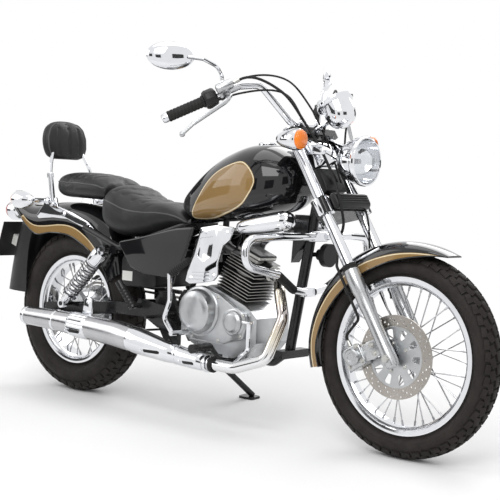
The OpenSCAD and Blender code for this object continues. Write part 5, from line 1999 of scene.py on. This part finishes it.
@dataclass
class Engine:
    """Finned cylinder, head, covers, side plates and air cleaners."""

    fin: tuple[float, float] = (72.0, 68.0)
    pitch: float = 11.0

    def fin_plate(self, half_x: float, half_y: float, z: float) -> Obj:
        """Make one fin across the cylinder's axis."""
        turn = Matrix.Rotation(TILT, 3, "Y")
        return Shop.block("fin", (2 * half_x, 2 * half_y, 3.2), at_crank(0, 0, z), turn, 1.2, 2)

    def cylinder(self) -> None:
        """Build the fins of the barrel and the head."""
        barrel = Shop.turned(
            "barrel", [(0, 99), (50, 99), (50, 183), (0, 183)], at_crank(0, 0, 0),
            Vector(at_crank(0, 0, 1)) - Vector(at_crank(0, 0, 0)), 40
        )
        fins = [self.fin_plate(70.5, 66.5, z) for z in np.arange(106, 182, self.pitch)]
        Shop.place(
            Shop.join("barrel", [barrel, *fins]), "engine_cylinder_fins", Body.CHASSIS, FINS,
            ["engine_cylinder"]
        )
        block = Shop.block("head", (88, 84, 70), at_crank(0, 0, 222), Matrix.Rotation(TILT, 3, "Y"), 8, 4)
        ports = [
            Shop.turned("port", [(0, 30), (26, 30), (26, h), (0, h)], at_crank(0, 0, 212), d, 32) for h,
            d in ((83, at_way(1)), (83, at_way(-1)))
        ]
        fins = [self.fin_plate(70 - k * 1.6, 66 - k * 1.2, 188 + k * 10) for k in range(5)]
        cover = Shop.block("rocker", (104, 92, 20), at_crank(0, 0, 249), Matrix.Rotation(TILT, 3, "Y"), 7, 4)
        Shop.place(
            Shop.join("head", [block, *ports, *fins, cover]), "cylinder_head_fins", Body.CHASSIS, FINS,
            ["cylinder_head"]
        )
        plug = Shop.tube(
            "plug",
            [at_crank(26, -62, 228), at_crank(30, -78, 236), at_crank(12, -84, 262), at_crank(-30, -60, 300)],
            4, 24, 12
        )
        boot = Shop.tube("boot", [at_crank(26, -60, 227), at_crank(30, -80, 238)], 8.5, 0, 16, [1, 0.8])
        Shop.place(Shop.join("lead", [plug, boot]), "spark_plug_lead", Body.CHASSIS, RUBBER)

    def covers(self) -> None:
        """Build the clutch and generator covers with their bolts."""
        rows = ((690, 375, 75, 108, 142), (840, 352, 40, 104, 118))
        pieces = []
        for x, z, r, y0, y1 in rows:
            dome = [
                (0, 84.5), (r + 9, 84.5), (r + 9, y0 - 3), (r + 5, y0), (r, y0 + 1), (r - 1, y0 + 6),
                (r * 0.9, y1 - 8), (r * 0.76, y1 - 2), (r * 0.6, y1), (0, y1)
            ]
            pieces.append(Shop.turned("dome", dome, (x, 0, z), (0, -1, 0), 80))
        outline = [
            (624, 300), (650, 276), (780, 272), (880, 300), (896, 340), (886, 380), (846, 398), (770, 440),
            (690, 458), (628, 440), (608, 376)
        ]
        pieces.append(Shop.slab("side", outline, -84.4, -103, 5, 4))
        Shop.place(
            Shop.join("covers", pieces), "engine_covers_right", Body.CHASSIS, CAST_ALLOY, ["engine_covers"]
        )
        left = [
            Shop.turned(
                "dome",
                [(0, 84.5), (74, 84.5), (74, 92), (66, 95), (65, 108), (60, 116), (48, 119), (0, 119)],
                (800, 0, 345), ACROSS, 72
            ), Shop.slab("side", outline, 84.4, 98, 5, 4)
        ]
        Shop.place(Shop.join("covers", left), "engine_covers_left", Body.CHASSIS, CAST_ALLOY)
        bolts = [
            Shop.bolt((x, -102, z), (0, -1, 0), 4.5, 4) for x,
            z in (
                (634, 310), (660, 288), (776, 284), (872, 308), (880, 378), (770, 428), (640, 430), (618, 380)
            )
        ]
        bolts += [
            Shop.bolt((x, 97.5, z), ACROSS, 4.5, 4) for x,
            z in ((640, 310), (776, 284), (872, 308), (640, 430), (690, 444))
        ]
        Shop.place(Shop.join("bolts", bolts), "engine_cover_bolts", Body.CHASSIS, ZINC)

    def plates(self) -> None:
        """Build the chrome neck plates and the twin air cleaners."""
        outline = [
            (690, 656), (760, 668), (834, 664), (820, 622), (790, 600), (770, 540), (772, 500), (756, 482),
            (700, 470), (650, 462), (628, 470), (640, 520)
        ]
        plate = Shop.slab("plate", outline, -115.8, -106.2, 3.5, 4)
        window = Shop.slab(
            "window", [(690, 620), (750, 630), (744, 560), (706, 540), (676, 560)], -119, -112, 3, 3
        )
        Shop.cut(plate, window)
        bolts = [
            Shop.bolt((x, -115.4, z), (0, -1, 0), 6, 5) for x,
            z in ((712, 642), (806, 646), (756, 500), (650, 484))
        ]
        ribs = [
            Shop.slab("rib", [(660, z), (740, z + 6), (740, z + 10), (660, z + 4)], -118.4, -115, 1, 1)
            for z in (478, 490, 502)
        ]
        Shop.place(
            Shop.both("plates", Shop.join("plate", [plate, *bolts, *ribs])), "neck_plates_chrome",
            Body.CHASSIS, CHROME, ["engine_side_plates"]
        )
        way = (math.cos(math.radians(10)), 0, math.sin(math.radians(10)))
        bullet = [
            (0, 0), (10, 2), (18, 10), (24, 26), (28, 54), (31, 104), (33, 160), (33, 192), (30, 196),
            (29, 212), (22, 224), (0, 231)
        ]
        tip = Shop.turned("bullet", bullet, (850, -112, 662), way, 56)
        tube = Shop.tube("tube", [(1036, 0, 694), (1036, -110, 694)], 9)
        Shop.place(
            Shop.both("cleaners", Shop.join("cleaner", [tip, tube])), "air_cleaner_bullets", Body.CHASSIS,
            CHROME, ["air_cleaner"]
        )

    def build(self) -> None:
        """Build the engine's new pieces."""
        self.cylinder()
        self.covers()
        self.plates()


def at_way(sign: int) -> Vector:
    """Give the direction ahead of or behind the cylinder, square to its axis."""
    return (Vector(at_crank(1, 0, 0)) - Vector(at_crank(0, 0, 0))) * sign


@dataclass
class Exhaust:
    """Heat-tinted pipe and the tapered silencer."""

    pipe_r: float = 18.8
    y: float = -190.0
    rows: tuple = (
        (832, 220, 24), (812, 220, 24), (700, 230, 28), (622, 238, 34), (500, 256, 43), (436, 264, 46),
        (300, 273, 44), (138, 280, 40), (20, 282, 36), (-100, 283, 33)
    )

    def size_at(self, x: float) -> tuple[float, float]:
        """Give the height of the silencer's middle and its radius at a place along it."""
        rows = np.array(sorted(self.rows))
        return float(np.interp(x, rows[:, 0], rows[:, 1])), float(np.interp(x, rows[:, 0], rows[:, 2]))

    def sleeve(self, start: float, end: float, rise: float, ribs: float = 0.0) -> Obj:
        """Wrap a shield round a stretch of the silencer.

        Args:
            start: the end nearer the tail, along X.
            end: the end nearer the engine.
            rise: how far it stands proud.
            ribs: height of the pressed ribs that run along it.

        Returns:
            The new shield.
        """
        rings = []
        for t in np.linspace(0, 1, 20):
            x = start + (end - start) * t
            z, r = self.size_at(x)
            ease = min(1.0, 7 * t, 7 * (1 - t))
            turns = np.linspace(0, 2 * math.pi, 144, endpoint=False)
            radii = [r + (rise + ribs * math.cos(24 * a)) * ease - 1.2 * (1 - ease) for a in turns]
            rings.append([(x, self.y + q * math.cos(a), z + q * math.sin(a)) for q, a in zip(radii, turns)])
        return Shop.surface("sleeve", rings, True)

    def slot(self, x: float, half: float, turn: float) -> list[Obj]:
        """Make the black insert of a slot and the screw behind it.

        Args:
            x: the slot's middle, along X.
            half: half of its length.
            turn: how far it sits below the side, in degrees.

        Returns:
            The insert and the screw.
        """
        z, r = self.size_at(x)
        outline = [
            (x - half, -3), (x - half + 6, -6), (x + half, -5), (x + half, 2), (x + half - 6, 5),
            (x - half, 4)
        ]
        insert = Shop.slab("slot", outline, -r - 5.4, -r * 0.86, 1.2, 2)
        screw = Shop.bolt((x - half - 14, -r - 2.4, 0), (0, -1, 0), 5, 3)
        way = Matrix.Translation(Vector((0, self.y, z)) * MM) @ Matrix.Rotation(math.radians(turn), 4, "X")
        for piece in (insert, screw):
            piece.data.transform(way)
        return [insert, screw]

    def build(self) -> None:
        """Build the exhaust."""
        port, way = Vector(at_crank(84.3, 0, 212)), at_way(1)
        path = [
            port, port + way * 34, port + way * 88 + Vector((0, -58, -22)), (1050, -104, 390),
            (1026, -152, 256), (926, self.y, 220), (832.3, self.y, 220)
        ]
        Shop.place(
            Shop.tube("pipe", path, self.pipe_r, 44, 28), "exhaust_pipe_tinted", Body.CHASSIS, HOT_PIPE,
            ["exhaust_pipe"]
        )
        rings = []
        for x, z, r in smooth(self.rows, 60):
            rings.append(
                [
                    (x, self.y + r * math.cos(a), z + r * math.sin(a))
                    for a in np.linspace(0, 2 * math.pi, 56, endpoint=False)
                ]
            )
        end = rings[-1]
        for depth, scale in ((0, 0.80), (2, 0.64), (58, 0.60)):
            rings.append(
                [(x + depth, self.y + (y - self.y) * scale, 283 + (z - 283) * scale) for x, y, z in end]
            )
        Shop.place(
            Shop.surface("silencer", rings, True, True), "silencer_body", Body.CHASSIS, SATIN_CHROME,
            ["silencer"], 40
        )
        bands = []
        for x, z, r in ((818, 220, 27.4), (684, 231.6, 31.6), (76, 281.2, 38.6), (-88, 283, 34.6)):
            bands.append(
                Shop.turned(
                    "band", [(r - 4, -7), (r, -6), (r + 1.2, 0), (r, 6), (r - 4, 7)], (x, self.y, z),
                    (1, 0, -0.06), 56
                )
            )
        bands += [
            Shop.slab(
                "hanger", [(180, 300), (230, 300), (236, 372), (216, 380), (196, 372)], -171.8, -164.2, 1.5, 2
            ), Shop.bolt((216, -171.4, 362), (0, -1, 0), 7, 6)
        ]
        slots = [self.slot(x, half, turn) for x, half, turn in ((206, 26, 24), (590, 34, 12), (752, 24, 16))]
        Shop.place(Shop.join("inserts", [pair[0] for pair in slots]), "silencer_slots", Body.CHASSIS, RUBBER)
        bands += [pair[1] for pair in slots]
        shields = [self.sleeve(452, 690, 2.0), self.sleeve(676, 808, 3.8), self.sleeve(152, 262, 1.8, 1.1)]
        Shop.place(Shop.join("shields", shields), "silencer_heat_shields", Body.CHASSIS, CHROME)
        seal = Shop.turned("seal", [(19, -4), (26, -4), (26, 5), (19, 5)], (838, self.y, 220), (1, 0, 0), 48)
        Shop.place(seal, "silencer_seal", Body.CHASSIS, RUBBER)
        Shop.place(Shop.join("bands", bands), "silencer_bands", Body.CHASSIS, CHROME)


@dataclass
class Trim:
    """Guard, pedals, kick starter, pegs, shocks, side covers and battery box."""

    shock_low: Triple = (53.0, -150.0, 340.0)
    shock_top: Triple = (260.0, -150.0, 553.0)

    def guard(self) -> None:
        """Build the engine guard's loop, its rubber sleeve and clamps."""
        half = [
            (1098, -30, 650), (1084, -180, 650), (1062, -318, 642), (1066, -322, 560), (1082, -180, 530),
            (1072, -88, 480), (1070, -24, 470)
        ]
        loop = Shop.tube("loop", half, 12.8, 40, 22)
        clamps = [
            Shop.block("clamp", (16, 88, 32), (1095, 0, 650), None, 4, 3),
            Shop.block("clamp", (18, 68, 32), (1065, 0, 470), None, 4, 3)
        ]
        Shop.place(
            Shop.join("guard", [Shop.both("loop", loop), *clamps]), "engine_guard_chrome", Body.CHASSIS,
            CHROME, ["engine_guard"]
        )
        sleeve = Shop.tube("sleeve", rounded(half, 40)[-14:-3], 13.8, 0, 22)
        Shop.place(Shop.both("sleeves", sleeve), "engine_guard_sleeves", Body.CHASSIS, RUBBER)

    def feet(self) -> None:
        """Build the brake pedal, the gear lever and the kick starter."""
        brake = [(740, -104, 214), (740, -138, 216), (880, -146, 222), (955, -160, 280), (968, -176, 366)]
        gear = [(740, 104, 214), (740, 138, 216), (880, 146, 222), (985, 160, 262), (1000, 206, 300)]
        pieces = [Shop.tube("lever", p, 6.8, 28, 14) for p in (brake, gear)]
        pieces += [Shop.block("pad", (34, 26, 9), (968, -180, 370), None, 3, 3)]
        Shop.place(Shop.join("levers", pieces), "foot_levers_chrome", Body.CHASSIS, CHROME, ["foot_levers"])
        arm = Shop.tube("arm", [(649, -100, 300), (649, -196, 300)], 9, 0, 16)
        crank = Shop.tube(
            "crank", [(649, -190, 300), (618, -200, 348), (647, -205, 411), (646, -210, 500)], 8, 30, 16
        )
        Shop.place(
            Shop.join("kick", [arm, crank]), "kick_starter_arm", Body.CHASSIS, CHROME, ["kick_starter"]
        )
        way = Vector((760, -238, 556)) - Vector((646, -206, 500))
        profile = [(0, 0), (10, 0)] + [
            (12.6 if k % 2 else 10.8, 6 + k * 6) for k in range(19)
        ] + [(10, 126), (0, 128)]
        Shop.place(
            Shop.turned("pedal", profile, (646, -206, 500), way, 28), "kick_starter_pedal", Body.CHASSIS,
            RUBBER
        )

    def shocks(self) -> None:
        """Build the twin shocks with their springs and covers."""
        low, way = Vector(self.shock_low), Vector(self.shock_top) - Vector(self.shock_low)
        body = [
            (0, 14), (15, 14), (17, 20), (17, 50), (29, 52), (29, 60), (17, 61), (17, 92), (9, 94), (9, 236),
            (0, 236)
        ]
        cover = [(10, 232), (29, 232), (30, 238), (30, 272), (26, 283), (14, 286), (10, 286)]
        eyes = [
            Shop.turned("eye", [(7, -11), (h, -11), (h, 11), (7, 11)], p, ACROSS, 32) for p,
            h in ((low, 16), (self.shock_top, 18))
        ]
        pieces = [Shop.turned("damper", body, low, way, 36), Shop.turned("cover", cover, low, way, 48), *eyes]
        Shop.place(
            Shop.both("shocks", Shop.join("shock", pieces)), "shock_absorbers_chrome", Body.CHASSIS, CHROME,
            ["shock_absorbers"]
        )
        turns, start, end = 13, 64.0, 232.0
        frame = way.to_track_quat("Z", "Y").to_matrix()
        coil = []
        for k in range(turns * 24 + 1):
            t = k / (turns * 24)
            a = 2 * math.pi * turns * t
            coil.append(low + frame @ Vector((24 * math.cos(a), 24 * math.sin(a), start + (end - start) * t)))
        Shop.place(
            Shop.both("springs", Shop.tube("spring", coil, 4.2, 0, 8)), "shock_springs", Body.CHASSIS,
            SATIN_CHROME
        )

    def panels(self) -> None:
        """Build the side covers and the foot pegs."""
        outline = [
            (318, 580), (330, 588), (420, 606), (560, 640), (600, 648), (676, 655), (640, 560), (606, 488),
            (560, 476), (450, 478), (380, 500)
        ]
        panel = Shop.slab("panel", outline, -137.8, -124.2, 6, 5)
        Shop.place(
            Shop.both("covers", panel), "side_covers_painted", Body.CHASSIS, GLOSS_BLACK, ["side_covers"]
        )
        box = [(296, 430), (306, 424), (462, 430), (470, 440), (470, 560), (330, 574), (300, 520)]
        Shop.place(Shop.slab("box", box, -97, 97, 6, 4), "battery_box_moulded", Body.CHASSIS, PLASTIC)
        sticker = Shop.slab("label", [(306, 446), (356, 446), (356, 480), (306, 480)], -97.8, -96.8, 0.2, 1)
        Shop.place(sticker, "battery_box_blank_label", Body.CHASSIS, WHITE_PAINT)
        profile = [(0, 0), (13, 0)] + [
            (15.2 if k % 2 else 13.4, 6 + 6 * k) for k in range(13)
        ] + [(13, 86), (0, 88)]
        peg = Shop.turned("peg", profile, (806, -174, 272), (0, -1, 0), 28)
        passenger = Shop.turned("peg", profile, (430, -160, 362), (-64, -12, 86), 28)
        Shop.place(
            Shop.both("pegs", Shop.join("pegs", [peg, passenger])), "foot_pegs_rubber", Body.CHASSIS, RUBBER
        )

    def build(self) -> None:
        """Build the trim."""
        self.guard()
        self.feet()
        self.shocks()
        self.panels()


KEPT = {
    "frame_spine": FRAME_BLACK, "frame_down_tube": FRAME_BLACK, "frame_cradle": FRAME_BLACK,
    "seat_rails": FRAME_BLACK, "swingarm": FRAME_BLACK, "side_stand": FRAME_BLACK,
    "crankcase": CAST_ALLOY, "carburettor": DARK_ALLOY, "steering_clamps": FRAME_BLACK,
    "front_hub": SILVER_PAINT, "rear_hub": SILVER_PAINT, "drive_chain": STEEL,
    "chain_guard": PLASTIC, "horn": PLASTIC, "footrests": FRAME_BLACK,
    "number_plate": WHITE_PAINT,
}


# ---------------------------------------------------------------- studio


@dataclass
class Studio:
    """Camera, soft lamps, pale floor and white surround."""

    eye: Triple = (3.432 - FOOTPRINT[0] * MM, -3.045 - FOOTPRINT[1] * MM, 1.029)
    yaw: float = 130.33
    pitch: float = -6.25
    lens: float = 87.55

    def camera(self) -> None:
        """Place the camera."""
        data = bpy.data.cameras.new("camera")
        data.lens, data.sensor_width = self.lens, 36.0
        camera = bpy.data.objects.new("camera", data)
        camera.location = self.eye
        camera.rotation_euler = (math.radians(90 + self.pitch), 0, math.radians(self.yaw - 90))
        bpy.context.scene.collection.objects.link(camera)
        bpy.context.scene.camera = camera

    def lamps(self) -> None:
        """Place the lamps."""
        for name, at, size, power_w in (
            ("key", (1.8, -3.2, 3.4), 2.4, 84.0), ("fill", (-3.2, -2.6, 2.4), 2.6, 34.0),
            ("back", (-0.5, 3.4, 3.2), 2.8, 60.0), ("top", (0.0, 0.0, 4.2), 3.0, 46.0)
        ):
            data = bpy.data.lights.new(name, "AREA")
            data.size, data.energy = size, power_w
            lamp = bpy.data.objects.new(name, data)
            lamp.location = at
            lamp.rotation_euler = (Vector((0, 0, 0.5)) - Vector(at)).to_track_quat("-Z", "Y").to_euler()
            bpy.context.scene.collection.objects.link(lamp)

    def surround(self) -> None:
        """Make the world white where it is seen and plain where it lights."""
        world = bpy.data.worlds.new("surround")
        bpy.context.scene.world = world
        world.use_nodes = True
        g = Graph(world.node_tree)
        light = world.node_tree.nodes["Background"]
        light.inputs["Color"].default_value, light.inputs["Strength"].default_value = (1, 1, 1, 1), 0.62
        seen = g.node("Background", in_Strength=1.0, in_Color=(1, 1, 1, 1))
        path = g.node("LightPath").outputs
        a = g.node("Math", operation="MAXIMUM", in_0=path["Is Camera Ray"], in_1=path["Is Glossy Ray"])
        b = g.node("Math", operation="MAXIMUM", in_0=a.outputs[0], in_1=path["Is Transmission Ray"])
        mix = g.node("MixShader", in_0=b.outputs[0], in_1=light.outputs[0], in_2=seen.outputs[0])
        g.feed(world.node_tree.nodes["World Output"].inputs["Surface"], mix.outputs[0])

    def paper(self) -> bpy.types.Material:
        """Make the floor's material: pale where the machine stands, plain white further out."""
        g, shader, material = Finish("pale_floor", "floor", (0.9, 0.9, 0.9), (0.89, 0.89, 0.89)).start()
        shader.inputs["Base Color"].default_value = (0.9, 0.9, 0.9, 1)
        shader.inputs["Roughness"].default_value = 0.9
        place, path = g.node("TexCoord").outputs["Object"], g.node("LightPath").outputs
        away = g.node("VectorMath", operation="LENGTH", in_0=place).outputs["Value"]
        fade = g.node("MapRange", interpolation_type="SMOOTHSTEP", in_1=1.15, in_2=2.3, in_Value=away)
        seen = g.node("Math", operation="MAXIMUM", in_0=path["Is Camera Ray"], in_1=path["Is Glossy Ray"])
        both = g.node("Math", operation="MULTIPLY", in_0=fade.outputs["Result"], in_1=seen.outputs[0])
        glow = g.node("Emission")
        mix = g.node("MixShader", in_0=both.outputs[0], in_1=shader.outputs[0], in_2=glow.outputs[0])
        g.feed(material.node_tree.nodes["Material Output"].inputs["Surface"], mix.outputs[0])
        return material

    def floor(self) -> None:
        """Lay the floor, and stand dark cards that only metal reflects."""
        Shop.clear()
        bpy.ops.mesh.primitive_plane_add(size=40)
        floor = bpy.context.active_object
        floor.name = "floor"
        floor.data.materials.append(self.paper())
        dark = bpy.data.materials.new("dark_card")
        dark.use_nodes = True
        dark.node_tree.nodes["Principled BSDF"].inputs["Base Color"].default_value = (0.02, 0.02, 0.02, 1)
        for k, (turn, wide, low, high) in enumerate(
            (
                (-20, 2.2, 0.5, 2.3), (-62, 1.5, 0.2, 1.7), (-100, 2.6, 0.4, 2.2), (-150, 2.4, 0.3, 2.0),
                (160, 2.4, 0.5, 2.2), (80, 2.6, 0.4, 2.1)
            )
        ):
            Shop.clear()
            bpy.ops.mesh.primitive_plane_add(size=1)
            card = bpy.context.active_object
            card.name = f"card_{k}"
            way = Matrix.Rotation(
                math.radians(turn), 4, "Z"
            ) @ Matrix.Translation((5.2, 0, (low + high) / 2)) @ Matrix.Rotation(math.radians(-90), 4, "Y")
            card.data.transform(way @ Matrix.Diagonal((high - low, wide, 1, 1)))
            card.visible_camera = card.visible_shadow = False
            card.visible_diffuse = card.visible_transmission = False
            card.data.materials.append(dark)

    def build(self) -> None:
        """Build the studio."""
        bpy.context.scene.view_settings.view_transform = "Standard"
        self.camera()
        self.lamps()
        self.surround()
        self.floor()


def main() -> None:
    """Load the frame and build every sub-assembly."""
    logging.basicConfig(level=logging.INFO, format="%(name)s: %(message)s")
    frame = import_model()
    for node, finish in KEPT.items():
        mesh = frame["nodes"][node].data
        mesh.materials.clear()
        mesh.materials.append(material_of(finish))
    parts = (
        Studio(),
        Wheel("front", Body.FRONT_WHEEL, FRONT_AXLE, 312, 46, 240, 31, 37, 33, 58, 52),
        Wheel("rear", Body.REAR_WHEEL, REAR_AXLE, 308, 62, 203, 44, 73, 34, 30, 44),
        FrontBrake(), ForkLegs(), Headlamp(), Speedometer(), Handlebar(),
        SignalPair(
            "front_signals", Body.STEERING, (1060, -190, 950), (1, 0, 0), at_fork(0, -116, 745),
            "front_signals"
        ),
        SignalPair(
            "rear_signals", Body.CHASSIS, (-84, -190, 710), (-1, 0, 0), (-111, -98, 710), "rear_signals"
        ),
        FrontFender(), RearBodywork(), FuelTank(), Seats(), Engine(), Exhaust(), Trim(),
    )
    for part in parts:
        LOG.info("building %s", type(part).__name__)
        part.build()


if __name__ == "__main__":
    main()
